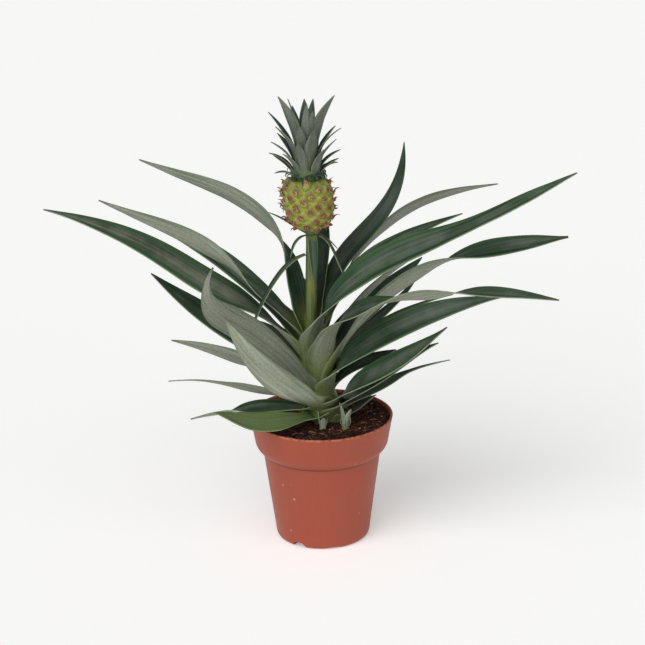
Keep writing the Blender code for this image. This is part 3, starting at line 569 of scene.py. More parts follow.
def pot_plastic(looks):
    """Injection-moulded polypropylene, terracotta colour.

    Semi-matt, with faint upright flow marks, pale dust and scuffs, a lip rubbed lighter, and a painted shade
    line in the crease at the shoulder's foot.
    """
    mat, tree, shader, place = new_material("polypropylene_moulded_terracotta", 0.5, 1.4)
    tall = node(tree, "Mapping", {0: place, 3: (330, 330, 7)}).outputs[0]
    flow, cloud, rare, rubbed, grain = (
        node(tree, "TexNoise", {"Vector": at, "Scale": scale, "Detail": detail,
                                "Roughness": broken}).outputs[0]
        for at, scale, detail, broken in ((tall, 1, 3, 0.5), (place, 26, 4, 0.6), (place, 60, 1, 0.5),
                                          (place, 320, 3, 0.5), (place, 900, 2, 0.5)))
    speck = node(tree, "TexVoronoi", {"Vector": place, "Scale": 95.0, "Randomness": 1.0}).outputs[0]
    height = node(tree, "SeparateXYZ", {0: place}).outputs[2]
    # painted shade: a dark line along the crease at the shoulder's foot, darkest in the crease
    crease = node(tree, "Math", {0: height, 1: (SHOULDER_FOOT + 0.1) * MM}, operation="SUBTRACT").outputs[0]
    crease = node(tree, "Math", {0: crease}, operation="ABSOLUTE").outputs[0]

    # each row: a source, its low and high ends, and what those ends become
    shares = {}
    for coat, row in {
        "flow": (flow, 0.2, 0.8, 0.25, 0.8),
        "scuff": (cloud, 0.44, 0.75, 0, 0.4),
        "dust": (speck, 0.16, 0.06, 0, 1),
        "rare": (rare, 0.6, 0.66, 0, 1),
        # painted shade in the crease at the shoulder's foot
        "crease": (crease, 0.2 * MM, 1.1 * MM, 0.75, 0),
        "lip": (height, (POT_HEIGHT - 2.2) * MM, POT_HEIGHT * MM, 0, 1),
        "rubbed": (rubbed, 0.42, 0.62, 0, 1),
        "shine": (cloud, 0.3, 0.7, 0.4, 0.58),
    }.items():
        shares[coat] = node(tree, "MapRange", dict(enumerate(row))).outputs[0]
    for coat, factor in (("dust", shares["rare"]), ("dust", 0.6), ("lip", shares["rubbed"])):
        shares[coat] = node(tree, "Math", {0: shares[coat], 1: factor}, operation="MULTIPLY").outputs[0]

    body = looks.pot_dark
    # the crease colour is painted shade, a dark line where the shoulder meets the body
    for coat, colour in (("flow", looks.pot_light), ("scuff", linear("#98503f")), ("dust", linear("#c9a08c")),
                         ("crease", linear("#5a261b")), ("lip", looks.pot_worn)):
        body = node(tree, "Mix", {0: shares[coat], 6: body, 7: colour}, data_type="RGBA").outputs[2]
    bump = node(tree, "Bump", {"Height": grain, "Strength": 0.12, "Distance": 0.0003}).outputs[0]
    surface(tree, shader, body, {"Height": flow, "Strength": 0.04, "Distance": 0.0006, "Normal": bump},
            shares["shine"])
    return mat


def peat(looks):
    """Peat and coir potting mix: dull, dark red-brown crumbs 1 to 3 mm across."""
    mat, tree, shader, place = new_material("peat_and_coir_crumbs", 0.95, 1.4)
    crumb = node(tree, "TexVoronoi", {"Vector": place, "Scale": 480.0, "Randomness": 1.0})
    tone = node(tree, "SeparateColor", {0: crumb.outputs["Color"]}).outputs[0]
    cloud = node(tree, "TexNoise", {"Vector": place, "Scale": 90.0, "Detail": 4.0}).outputs[0]
    damp = node(tree, "MapRange", {0: cloud, 1: 0.4, 2: 0.6, 4: 0.6}).outputs[0]
    body = looks.soil_dark
    for share, colour in ((tone, looks.soil_light), (damp, linear("#140a07"))):
        body = node(tree, "Mix", {0: share, 6: body, 7: colour}, data_type="RGBA").outputs[2]
    surface(tree, shader, body, {"Height": crumb.outputs[0], "Strength": 0.9, "Distance": 0.0012})
    return mat


def bark_chips():
    """Chopped coir, bark and peat lumps: dull, from near black to pale straw by the chip."""
    mat, tree, shader, place = new_material("coir_bark_and_peat_chips", 0.9, 1.4)
    shade = node(tree, "Attribute", attribute_name="shade").outputs["Fac"]
    grain = node(tree, "TexNoise", {"Vector": place, "Scale": 700.0, "Detail": 3.0}).outputs[0]
    tones = ((0, "#170a06"), (0.35, "#26110a"), (0.6, "#4a2214"), (0.8, "#74432a"), (0.92, "#ab8160"),
             (1, "#d8c0a2"))
    body = node(tree, "ValToRGB", {0: shade}, tones).outputs[0]
    dull = node(tree, "MapRange", {0: grain, 1: 0.3, 2: 0.7, 3: 0.65, 4: 1.2}).outputs[0]
    body = node(tree, "HueSaturation", {"Color": body, "Value": dull}).outputs[0]
    surface(tree, shader, body, {"Height": grain, "Strength": 0.5, "Distance": 0.0005})
    return mat


def rind(looks):
    """Unripe pineapple rind: waxy grey-green shields, yellow seams, dry pinkish hearts."""
    mat, tree, shader, place = new_material("pineapple_rind_waxy", 0.45)
    shader.inputs["Subsurface Weight"].default_value = 0.06
    shader.inputs["Subsurface Radius"].default_value = (0.004, 0.003, 0.001)
    zones = node(tree, "Attribute", attribute_name="eye_map")
    seam, heart, up = node(tree, "SeparateColor", {0: zones.outputs["Color"]}).outputs
    mottle, cloud = (
        node(tree, "TexNoise", {"Vector": place, "Scale": scale, "Detail": detail,
                                "Roughness": broken}).outputs[0]
        for scale, detail, broken in ((420, 4, 0.65), (120, 3, 0.5)))
    pale = node(tree, "MapRange", {0: cloud, 1: 0.35, 2: 0.65}).outputs[0]
    grit = node(tree, "MapRange", {0: mottle, 1: 0.45, 2: 0.7, 4: 0.6}).outputs[0]
    dry = node(tree, "MapRange", {0: mottle, 1: 0.38, 2: 0.5}).outputs[0]
    dry = node(tree, "Math", {0: dry, 1: heart}, operation="MULTIPLY").outputs[0]
    top = node(tree, "MapRange", {0: up, 1: 0.72, 2: 1.0, 4: 0.55}).outputs[0]
    groove = node(tree, "Math", {0: 1.0, 1: seam}, operation="SUBTRACT").outputs[0]
    body = looks.rind_shield
    for share, colour in ((pale, linear("#94984f")), (grit, linear("#a3a982")), (groove, looks.rind_seam),
                          (dry, looks.rind_heart), (top, linear("#6a7437"))):
        body = node(tree, "Mix", {0: share, 6: body, 7: colour}, data_type="RGBA").outputs[2]
    surface(tree, shader, body, {"Height": mottle, "Strength": 0.4, "Distance": 0.0005})
    return mat


def dry_bract():
    """Small fruit bract: fleshy and green-yellow at the foot, papery pinkish brown at the tip."""
    mat, tree, shader, place = new_material("fruit_bract_papery", 0.6)
    reach = node(tree, "Attribute", attribute_name="reach").outputs["Fac"]
    shade = node(tree, "Attribute", attribute_name="shade").outputs["Fac"]
    tones = ((0, "#7f8c40"), (0.35, "#97964f"), (0.55, "#b08468"), (0.8, "#9c5f4a"), (1, "#6f3b2c"))
    body = node(tree, "ValToRGB", {0: reach}, tones).outputs[0]
    level = node(tree, "MapRange", {0: shade, 3: 0.65, 4: 1.35}).outputs[0]
    body = node(tree, "HueSaturation", {"Color": body, "Value": level}).outputs[0]
    grain = node(tree, "TexNoise", {"Vector": place, "Scale": 900.0, "Detail": 2.0}).outputs[0]
    surface(tree, shader, body, {"Height": grain, "Strength": 0.4, "Distance": 0.0004})
    return mat


def stalk_skin(name, low, high, mark):
    """Fleshy green stalk: smooth skin with pale lengthwise ribs about 1.5 mm apart."""
    mat, tree, shader, place = new_material(name, 0.5)
    tall = node(tree, "Mapping", {0: place, 3: (650, 650, 22)}).outputs[0]
    rib = node(tree, "TexNoise", {"Vector": tall, "Scale": 1.0, "Detail": 3.0}).outputs[0]
    cloud = node(tree, "TexNoise", {"Vector": place, "Scale": 70.0, "Detail": 3.0}).outputs[0]
    ribbed = node(tree, "MapRange", {0: rib, 1: 0.35, 2: 0.65}).outputs[0]
    blot = node(tree, "MapRange", {0: cloud, 1: 0.52, 2: 0.68, 4: 0.6}).outputs[0]
    body = linear(low)
    for share, colour in ((ribbed, high), (blot, mark)):
        body = node(tree, "Mix", {0: share, 6: body, 7: linear(colour)}, data_type="RGBA").outputs[2]
    surface(tree, shader, body, {"Height": rib, "Strength": 0.5, "Distance": 0.0006})
    return mat


def studio_floor(colour, glow):
    """White acrylic sheet lit from below: plain, pale and evenly bright."""
    mat, tree, shader, place = new_material("acrylic_sheet_lit", 0.9)
    cloud = node(tree, "TexNoise", {"Vector": place, "Scale": 3.0, "Detail": 2.0}).outputs[0]
    level = node(tree, "MapRange", {0: cloud, 3: 0.985, 4: 1.0}).outputs[0]
    body = node(tree, "HueSaturation", {"Color": tuple(colour), "Value": level}).outputs[0]
    tree.links.new(body, shader.inputs["Base Color"])
    shader.inputs["Emission Color"].default_value = (1, 1, 1, 1)
    shader.inputs["Emission Strength"].default_value = glow
    return mat


# ==== settings ===================================================================================
def tint(label, words, colour):
    return bpy.props.FloatVectorProperty(name=label, description=words, default=linear(colour), size=4,
                                         subtype="COLOR", min=0.0, max=1.0)


class PlantLooks(bpy.types.PropertyGroup):
    """Colours and sizes of the plant that a user may want to change."""
    leaf_dark: tint("Leaf shadow green", "Darker streaks of a leaf's upper face", "#15251a")
    leaf_light: tint("Leaf green", "Lighter streaks of a leaf's upper face", "#37513a")
    leaf_margin: tint("Leaf margin", "Band along a leaf's edges", "#3f6228")
    leaf_base: tint("Leaf root", "Root of a leaf, where it clasps the stem", "#6f7b40")
    leaf_under: tint("Leaf underside", "Scurfy lower face of a leaf", "#989d8c")
    leaf_thickness: bpy.props.FloatProperty(name="Leaf thickness", description="Thickness of a strap leaf",
                                            default=0.9 * MM, min=0.0004, max=0.002, unit="LENGTH")
    rind_shield: tint("Rind shields", "Face of each eye of the fruit", "#667340")
    rind_seam: tint("Rind seams", "Grooves between the eyes", "#a2a63a")
    rind_heart: tint("Dry hearts", "Withered middle of each eye", "#93573f")
    eye_count: bpy.props.IntProperty(name="Eyes", description="Eyes on the fruit", default=64, min=40,
                                     max=200)
    eye_height: bpy.props.FloatProperty(name="Eye height", description="How far an eye stands out",
                                        default=2.3 * MM, min=0.0, max=0.004, unit="LENGTH")


class PotLooks(bpy.types.PropertyGroup):
    """Colours and sizes of the pot and its soil."""
    pot_dark: tint("Pot shadow", "Darker flow marks of the pot", "#96452f")
    pot_light: tint("Pot", "Main colour of the pot", "#a44a32")
    pot_worn: tint("Worn lip", "Rubbed plastic on the pot's lip", "#c07a5c")
    soil_dark: tint("Damp soil", "Darkest crumbs of the soil", "#190b07")
    soil_light: tint("Dry soil", "Lightest crumbs of the soil", "#552a1a")
    chips: bpy.props.IntProperty(name="Chips", description="Bark and coir chips on the soil", default=1700,
                                 min=0, max=4000)
    fibres: bpy.props.IntProperty(name="Fibres", description="Loose fibres on the soil", default=620,
                                  min=0, max=1000)


class StageLooks(bpy.types.PropertyGroup):
    """Floor, light and camera."""
    floor_colour: tint("Floor", "Colour of the floor", "#f6f6f5")
    floor_glow: bpy.props.FloatProperty(name="Floor glow", description="Light that the floor gives off",
                                        default=0.3, min=0.0, max=2.0)
    key_power: bpy.props.FloatProperty(name="Key light", description="Strength of the main light",
                                       default=2.05, min=0.0, max=20.0)
    fill_power: bpy.props.FloatProperty(name="Fill light", description="Strength of the second light",
                                        default=0.55, min=0.0, max=20.0)
    sky: bpy.props.FloatProperty(name="Room light", description="Strength of the even light all round",
                                 default=0.21, min=0.0, max=3.0)
    camera_rise: bpy.props.FloatProperty(name="Camera rise", description="Camera angle above level",
                                         default=math.radians(19.3), subtype="ANGLE")
    camera_reach: bpy.props.FloatProperty(name="Camera distance", description="From the camera to the plant",
                                          default=2.0, min=0.5, max=10.0, unit="LENGTH")
    camera_lens: bpy.props.FloatProperty(name="Lens", description="Focal length in millimetres",
                                         default=132.8, min=20.0, max=400.0)


# ==== pot and soil ===============================================================================
def spun(name, profile, steps):
    """Round body from a profile of (radius, height) in mm that starts and ends on the axis."""
    piece = fresh(bpy.ops.mesh.primitive_circle_add, name, vertices=len(profile), radius=0.05,
                  fill_type="NOTHING")
    shape = bmesh.new()
    shape.from_mesh(piece.data)
    shape.verts.ensure_lookup_table()
    for vert, (radius, height) in zip(shape.verts, profile):
        vert.co = Vector((radius, 0, height)) * MM
    shape.edges.remove(shape.edges.get((shape.verts[0], shape.verts[-1])))
    shape.to_mesh(piece.data)
    shape.free()
    with editing():
        bpy.ops.mesh.spin(steps=steps, angle=math.tau, center=(0, 0, 0), axis=(0, 0, 1))
        bpy.ops.mesh.select_all(action="SELECT")
        bpy.ops.mesh.remove_doubles(threshold=0.00001)
        bpy.ops.mesh.normals_make_consistent(inside=False)
    return piece


def corner(x, z, radius, start, end, steps):
    """Points of an arc about (x, z) from one angle to another, in degrees."""
    angles = [math.radians(start + (end - start) * i / steps) for i in range(steps + 1)]
    return [(x + radius * math.cos(a), z + radius * math.sin(a)) for a in angles]


def pot_outside():
    """Outer profile of the pot: round foot, tapering body, crease, shoulder, band and lip."""
    band = POT_HEIGHT - BAND_HEIGHT
    step = BAND_RADIUS - BODY_RADIUS
    taper = BODY_RADIUS - 0.3 - FOOT_RADIUS
    rows = [(FOOT_RADIUS + out, height) for out, height in
            ((-4.4, 0.0), (-3.0, 0.3), (-1.7, 1.2), (-0.7, 2.8), (-0.1, 5.2), (0.25, 8.5))]
    rows += [(FOOT_RADIUS + taper * s, 7.0 + (SHOULDER_FOOT - 8.4) * s) for s in (0.35, 0.7, 1.0)]
    rows += [(BODY_RADIUS + out, SHOULDER_FOOT + rise) for out, rise in
             ((-0.25, -0.7), (0.5, -0.2), (0.75, 0.5))]
    rows += [(BODY_RADIUS + step * w + 0.1 * (1 - s), SHOULDER_FOOT + SHOULDER_HEIGHT * s) for s, w in
             ((0.12, 0.24), (0.28, 0.46), (0.45, 0.66), (0.62, 0.82), (0.8, 0.94), (0.95, 1.0))]
    rows += [(BAND_RADIUS + BAND_SLOPE * s, band + s) for s in (1.0, 6.0, 12.0, 18.0)]
    rows += corner(RIM_RADIUS - 0.62, POT_HEIGHT - 0.62, 0.62, 10, 90, 5)
    return rows


def drain_cutter(turn, high, wide, deep):
    """Round-topped block that cuts a drainage opening through the foot at one heading."""
    cutter = fresh(bpy.ops.mesh.primitive_cube_add, "drain_cutter", size=2.0)
    with editing():
        bpy.ops.mesh.subdivide(number_cuts=3)
    for vert in cutter.data.vertices:
        up = max(vert.co.z, 0.0)
        out = FOOT_RADIUS + (4 - deep) / 2 + vert.co.x * (deep + 4) / 2
        across = vert.co.y * wide / 2 * (1 - 0.5 * up ** 2.5)
        level = up * high if vert.co.z > 0 else vert.co.z * 3
        vert.co = Matrix.Rotation(turn, 3, "Z") @ Vector((out, across, level)) * MM
    return cutter


def make_pot():
    """Wall, floor and lip in one, with drainage openings cut through the foot."""
    outside = pot_outside()
    ring = FOOT_RADIUS - 9.0
    under = [(0.0, 0.0), (14.0, 0.0), (15.2, 1.2), (ring - 1.2, 1.2), (ring, 0.0)]
    wall = [(r - WALL, z + (WALL * 0.6 if 20 < z < POT_HEIGHT - BAND_HEIGHT else 0.0))
            for r, z in outside[5:-7]]
    lip = corner(RIM_RADIUS - WALL - 0.1, POT_HEIGHT - 0.5, 0.5, 90, 180, 3)
    floor = [(0.0, FLOOR_TOP), (FOOT_RADIUS - 5.0, FLOOR_TOP), (FOOT_RADIUS - 2.6, FLOOR_TOP + 1.6)]
    pot = spun("nursery_pot", under + outside + lip + wall[::-1] + floor[::-1], 144)
    # two tall notches on opposite sides, and six shallow arches between them
    for i in range(8):
        turn = math.radians(DRAIN_TURN + 45 * i)
        cutter = drain_cutter(turn, *((5.0, 13.0, 11.0) if i % 4 == 0 else (1.6, 15.6, 7.0)))
        bpy.ops.object.select_all(action="DESELECT")
        bpy.context.view_layer.objects.active = pot
        knife = pot.modifiers.new("drain", "BOOLEAN")
        knife.operation, knife.solver, knife.object = "DIFFERENCE", "EXACT", cutter
        bpy.ops.object.modifier_apply(modifier="drain")
        bpy.data.objects.remove(cutter, do_unlink=True)
    pot.select_set(True)
    bpy.ops.object.shade_smooth_by_angle(angle=math.radians(32))
    return pot


def soil_edge(level):
    """Radius of the pot's inner wall at a height, in mm."""
    return BAND_RADIUS + BAND_SLOPE * (level - POT_HEIGHT + BAND_HEIGHT) - WALL - 0.15


def soil_level(x, y):
    """Height of the lumpy soil at a place, in mm."""
    edge = soil_edge(POT_HEIGHT - 5)
    share = min(math.hypot(x, y) / edge, 1.0)
    mound = 2.2 * (1 - share ** 2) - 0.6 + 1.2 * max(share - 0.86, 0) / 0.14
    mound += share ** 2 * (1.1 + 1.1 * math.cos(math.atan2(y, x) - 0.7))
    lump = noise.noise(Vector((x / 9, y / 9, 3.1))) * 1.5 + noise.noise(Vector((x / 3.2, y / 3.2, 8.7))) * 1.1
    fine = noise.noise(Vector((x / 1.3, y / 1.3, 1.9))) * 0.5
    return SOIL_TOP - 2.5 + mound + (lump + fine) * (1 - 0.45 * share)


def make_soil():
    """Lumpy bed to the pot's wall, whose rim is drawn down in steps to a flat bottom."""
    soil = fresh(bpy.ops.mesh.primitive_grid_add, "soil_bed", x_subdivisions=150, y_subdivisions=150,
                 size=2.0)
    edge = soil_edge(SOIL_TOP - 3)
    for vert in soil.data.vertices:
        u, v = vert.co.x, vert.co.y
        x, y = u * math.sqrt(1 - v * v / 2) * edge, v * math.sqrt(1 - u * u / 2) * edge
        vert.co = Vector((x, y, soil_level(x, y))) * MM
    with editing():
        bpy.ops.mesh.select_all(action="DESELECT")
    for vert in soil.data.vertices:
        vert.select = math.hypot(vert.co.x, vert.co.y) > (edge - 0.01) * MM
    bpy.ops.object.mode_set(mode="EDIT")
    bpy.ops.mesh.select_mode(type="VERT")
    for level, radius in ((POT_HEIGHT - 23, BAND_RADIUS - 2.4), (POT_HEIGHT - 33, BODY_RADIUS - 1.8),
                          (8.0, FOOT_RADIUS - 1.8), (4.4, FOOT_RADIUS - 2.9), (3.1, FOOT_RADIUS - 5.3)):
        bpy.ops.mesh.extrude_region_move()
        bpy.ops.object.mode_set(mode="OBJECT")
        for vert in soil.data.vertices:
            if vert.select:
                flat = math.hypot(vert.co.x, vert.co.y)
                vert.co = Vector((vert.co.x / flat * radius * MM, vert.co.y / flat * radius * MM, level * MM))
        bpy.ops.object.mode_set(mode="EDIT")
    bpy.ops.mesh.edge_face_add()
    bpy.ops.mesh.select_all(action="SELECT")
    bpy.ops.mesh.normals_make_consistent(inside=False)
    bpy.ops.object.mode_set(mode="OBJECT")
    soil.data.shade_smooth()
    return soil


def soil_spots(pick, count, reach):
    """Random places on the soil outside the stem, in mm."""
    spots = []
    while len(spots) < count:
        x, y = pick.uniform(-58, 58), pick.uniform(-58, 58)
        if math.hypot(x, y) < soil_edge(SOIL_TOP - 3) - reach and math.hypot(x - 6, y) > 12:
            spots.append((x, y))
    return spots


def make_chips(count):
    """Angular crumbs and flat bark chips lying on the soil."""
    pick = random.Random(11)
    model = fresh(bpy.ops.mesh.primitive_cube_add, "chip", size=2 * MM)
    with editing():
        bpy.ops.mesh.bevel(offset=0.45 * MM, segments=1, affect="EDGES")
    for vert in model.data.vertices:
        vert.co += noise.noise_vector(vert.co / MM * 1.3) * 0.45 * MM
    matrices, shades = [], []
    for x, y in soil_spots(pick, count, 1.6):
        size = pick.choice((0.45, 0.55, 0.65, 0.8, 1.0, 1.25))
        shape = Matrix.Diagonal((size * pick.uniform(0.9, 2.0), size * pick.uniform(0.7, 1.1),
                                 size * pick.uniform(0.35, 0.7), 1))
        turn = (Matrix.Rotation(pick.uniform(0, math.tau), 4, "Z")
                @ Matrix.Rotation(pick.gauss(0, 0.45), 4, "X")
                @ Matrix.Rotation(pick.gauss(0, 0.45), 4, "Y"))
        lift = soil_level(x, y) + size * pick.uniform(0.0, 0.5)
        matrices.append(Matrix.Translation(Vector((x, y, lift)) * MM) @ turn @ shape)
        shades.append(min(max(pick.gauss(0.36, 0.2), 0.0), 0.78) if pick.random() < 0.965
                      else pick.uniform(0.8, 1))
    return placed("soil_chips", model, matrices, shades)


def make_fibres(count):
    """Bent coir fibres: four-sided hairs up to 15 mm long."""
    pick = random.Random(23)
    model = fresh(bpy.ops.mesh.primitive_cylinder_add, "fibre", vertices=4, radius=0.22 * MM, depth=10 * MM,
                  rotation=(0, math.pi / 2, 0))
    bpy.ops.object.transform_apply(location=False, rotation=True, scale=False)
    with editing():
        cut_across([(-5 + 2 * i) * MM for i in range(1, 5)], (1, 0, 0))
    for vert in model.data.vertices:
        s = vert.co.x / (5 * MM)
        vert.co.y += 1.6 * MM * s * s + 0.5 * MM * math.sin(3 * s)
        vert.co.z -= 0.7 * MM * s * s
    matrices, shades = [], []
    for x, y in soil_spots(pick, count, 4.0):
        size = pick.uniform(0.35, 1.15)
        turn = (Matrix.Rotation(pick.uniform(0, math.tau), 4, "Z")
                @ Matrix.Rotation(pick.gauss(0, 0.25), 4, "Y"))
        shape = Matrix.Diagonal((size, size * pick.uniform(-1.3, 1.3), pick.uniform(0.8, 1.6), 1))
        lift = soil_level(x, y) + pick.uniform(0.5, 1.5)
        matrices.append(Matrix.Translation(Vector((x, y, lift)) * MM) @ turn @ shape)
        shades.append(pick.choice((0.2, 0.35, 0.45, 0.55, 0.62, 0.66, 0.7, 0.75, 0.8, 0.9)))
    return placed("soil_fibres", model, matrices, shades)


# ==== stem, stalk, fruit =========================================================================
def tube(name, rows, sides):
    """Round piece that follows the plant's middle line: rows are (height, radius)."""
    last = len(rows) - 1
    piece = fresh(bpy.ops.mesh.primitive_cylinder_add, name, vertices=sides, radius=1.0, depth=2.0)
    with editing():
        cut_across([-1 + 2 * i / last for i in range(1, last)], (0, 0, 1))
    for vert in piece.data.vertices:
        height, radius = rows[round((vert.co.z + 1) / 2 * last)]
        mid = axis_point(height)
        angle = math.atan2(vert.co.y, vert.co.x)
        ridge = 1 + 0.05 * noise.noise(Vector((math.cos(angle) * 2.2, math.sin(angle) * 2.2, height / 30)))
        vert.co = Vector((mid.x + math.cos(angle) * radius * ridge, mid.y + math.sin(angle) * radius * ridge,
                          mid.z)) * MM
    piece.select_set(True)
    bpy.ops.object.shade_smooth_by_angle(angle=math.radians(40))
    return piece


def fruit_point(share, angle):
    """Point of the smooth fruit (mm) and its outward direction."""
    low, high = max(share - 0.04, 0), min(share + 0.04, 1)
    radius, lower, upper = (FRUIT_RADIUS * between(FRUIT_OUTLINE, at)[0] for at in (share, low, high))
    reach = FRUIT_LENGTH * (high - low)
    out = (level_way(angle) * reach - Vector((0, 0, upper - lower))).normalized()
    return axis_point(FRUIT_FOOT + FRUIT_LENGTH * share) + level_way(angle) * radius, out


def eye_spots(count):
    """Middle, outward direction and place up the fruit of each eye, on a spiral."""
    pick = random.Random(3)
    spots = []
    for i in range(count):
        share = 0.035 + 0.93 * (i + 0.5) / count + pick.uniform(-0.012, 0.012)
        angle = i * GOLDEN_ANGLE + 0.35 + pick.uniform(-0.07, 0.07)
        spots.append((*fruit_point(share, angle), share))
    return spots


def make_fruit(looks):
    """The rind: a raised shield round each eye, sunk seams between them and a low rough heart."""
    fruit = fresh(bpy.ops.mesh.primitive_uv_sphere_add, "fruit_rind", segments=176, ring_count=112,
                  radius=1.0)
    mids = np.array([spot[:] for spot, out, share in eye_spots(looks.eye_count)])
    zones = fruit.data.attributes.new("eye_map", "FLOAT_COLOR", "POINT")
    for vert in fruit.data.vertices:
        share = 0.5 - 0.5 * math.cos(math.pi * (math.acos(max(min(-vert.co.z, 1), -1)) / math.pi))
        point, out = fruit_point(share, math.atan2(vert.co.y, vert.co.x))
        gaps = np.sort(np.linalg.norm(mids - np.array(point[:]), axis=1))[:2]
        seam = min((gaps[1] - gaps[0]) / 4.2, 1.0)
        seam = seam * seam * (3 - 2 * seam)
        heart = min(max(1.5 - gaps[0] / 2.8, 0.0), 1.0)
        rough = noise.noise(point / 1.6) * 0.25
        fade = min(share / 0.03, (1 - share) / 0.02, 1.0)
        lift = (looks.eye_height / MM * (seam - 0.45) - 0.5 * heart + rough) * fade
        vert.co = (point + out * lift) * MM
        zones.data[vert.index].color = (seam, heart, share, 1.0)
    fruit.data.shade_smooth()
    return fruit


def flap_model(width, path, rows=5):
    """Small pointed flap from a strip of grid, bent along a path of (forward, up)."""
    model = fresh(bpy.ops.mesh.primitive_grid_add, "flap", x_subdivisions=2, y_subdivisions=rows, size=1.0)
    bends = [(i / (len(path) - 1), *point) for i, point in enumerate(path)]
    reach = model.data.attributes.new("reach", "FLOAT", "POINT")
    looks_map = model.data.attributes.new("leaf_map", "FLOAT_COLOR", "POINT")
    for vert in model.data.vertices:
        share, side = vert.co.y + 0.5, vert.co.x
        forward, up = between(bends, share)
        wide = width * (1 - share ** 1.7) + 0.12
        fold = abs(side) * width * 0.35 * (1 - share)
        vert.co = Vector((side * wide, forward, up - fold)) * MM
        reach.data[vert.index].value = share
        looks_map.data[vert.index].color = (abs(2 * side), 0.25 + 0.7 * share, 0.15, 0.0)
    thicken(model, 0.35)
    return model


def eye_frame(spot, out, spin=0.0):
    """Matrix with x across, y up along the rind and z outward at a spot."""
    up = (Vector((0, 0, 1)) - out * out.z).normalized()
    side = up.cross(out)
    turn = Matrix((side, up, out)).transposed().to_4x4() @ Matrix.Rotation(spin, 4, "Z")
    return Matrix.Translation(spot * MM) @ turn


def make_fruit_bracts(looks):
    """A curled papery bract under each eye, and six withered florets in its heart."""
    pick = random.Random(5)
    model = flap_model(5.4, ((-4.2, -0.8), (-2.9, 1.3), (-1.1, 2.3), (0.6, 2.9), (2.0, 3.8), (2.6, 5.2),
                             (2.2, 6.6)), rows=7)
    matrices, shades = [], []
    for spot, out, share in eye_spots(looks.eye_count):
        size = pick.uniform(0.6, 1.05)
        matrices.append(eye_frame(spot, out, pick.gauss(0, 0.35)) @ scaled(size))
        shades.append(pick.random())
    flaps = placed("fruit_bracts", model, matrices, shades)
    model = flap_model(1.3, ((0, 0.2), (0.7, 1.3), (0.5, 2.4), (-0.5, 3.1), (-1.4, 2.7)))
    matrices, shades = [], []
    for spot, out, share in eye_spots(looks.eye_count):
        for k in range(6):
            size = pick.uniform(0.6, 1.25)
            move = Matrix.Translation((pick.gauss(0, 1.1) * MM, pick.gauss(-0.2, 1.0) * MM, 0))
            matrices.append(eye_frame(spot, out) @ move @ Matrix.Rotation(pick.uniform(0, math.tau), 4, "Z")
                            @ scaled(size))
            shades.append(pick.random())
    florets = placed("fruit_dry_florets", model, matrices, shades)
    for vert in florets.data.attributes["reach"].data:
        vert.value = 0.55 + 0.45 * vert.value
    return flaps, florets


def make_ruff():
    """Ring of short, dark, curled leaves where the tuft leaves the fruit."""
    pick = random.Random(8)
    model = flap_model(3.4, ((0, 0), (1.4, 1.4), (3.6, 2.2), (6.0, 1.8), (7.6, 0.4), (7.8, -1.4),
                             (6.6, -2.2)), rows=8)
    matrices, shades = [], []
    for i in range(34):
        angle = i * GOLDEN_ANGLE + 0.3
        mid = axis_point(FRUIT_FOOT + FRUIT_LENGTH * pick.uniform(0.97, 1.05))
        start = mid + level_way(angle) * pick.uniform(8, 11.5)
        size = pick.uniform(0.7, 1.25)
        turn = Matrix.Rotation(angle - math.pi / 2, 4, "Z") @ Matrix.Rotation(pick.uniform(0.0, 0.9), 4, "X")
        matrices.append(Matrix.Translation(start * MM) @ turn @ scaled(size))
        shades.append(pick.random())
    return placed("tuft_ruff", model, matrices, shades)


# ==== operators ==================================================================================
class PLANT_OT_pot(bpy.types.Operator):
    """Make the moulded nursery pot"""
    bl_idname = "plant.pot"
    bl_label = "Nursery pot"

    def execute(self, context):
        finish(make_pot(), pot_plastic(context.scene.pot_looks), "pot_plastic", "pot")
        return {"FINISHED"}


class PLANT_OT_soil(bpy.types.Operator):
    """Make the soil, its chips and its fibres"""
    bl_idname = "plant.soil"
    bl_label = "Potting soil"

    def execute(self, context):
        looks = context.scene.pot_looks
        finish(make_soil(), peat(looks), "potting_soil", "soil")
        chips = bark_chips()
        finish(make_chips(looks.chips), chips, "potting_soil")
        finish(make_fibres(looks.fibres), chips, "potting_soil")
        return {"FINISHED"}


class PLANT_OT_stem(bpy.types.Operator):
    """Make the short stem and the fruit's stalk"""
    bl_idname = "plant.stem"
    bl_label = "Stem and stalk"

    def execute(self, context):
        low, high = STEM_RADIUS[0][0], STEM_RADIUS[-1][0]
        heights = [low + (high - low) * i / 24 for i in range(25)]
        stem = tube("stem_core", [(h, between(STEM_RADIUS, h)[0]) for h in heights], 40)
        finish(stem, stalk_skin("leaf_scarred_stem", "#535e30", "#6d7542", "#7c6b45"), "stem", "stem")
        # from inside the stem to inside the fruit, a little thicker under the fruit
        low, high = 86.0, FRUIT_FOOT + 1.5
        rows = [(low + (high - low) * i / 16, STALK_RADIUS * (1.0 + 0.12 * (i > 14) - 0.02 * (i % 2)))
                for i in range(17)]
        stalk = tube("fruit_stalk_skin", rows, 40)
        finish(stalk, stalk_skin("fruit_stalk_fleshy", "#4a5a2c", "#6f7e4b", "#7c8034"), "stalk",
               "fruit_stalk")
        return {"FINISHED"}


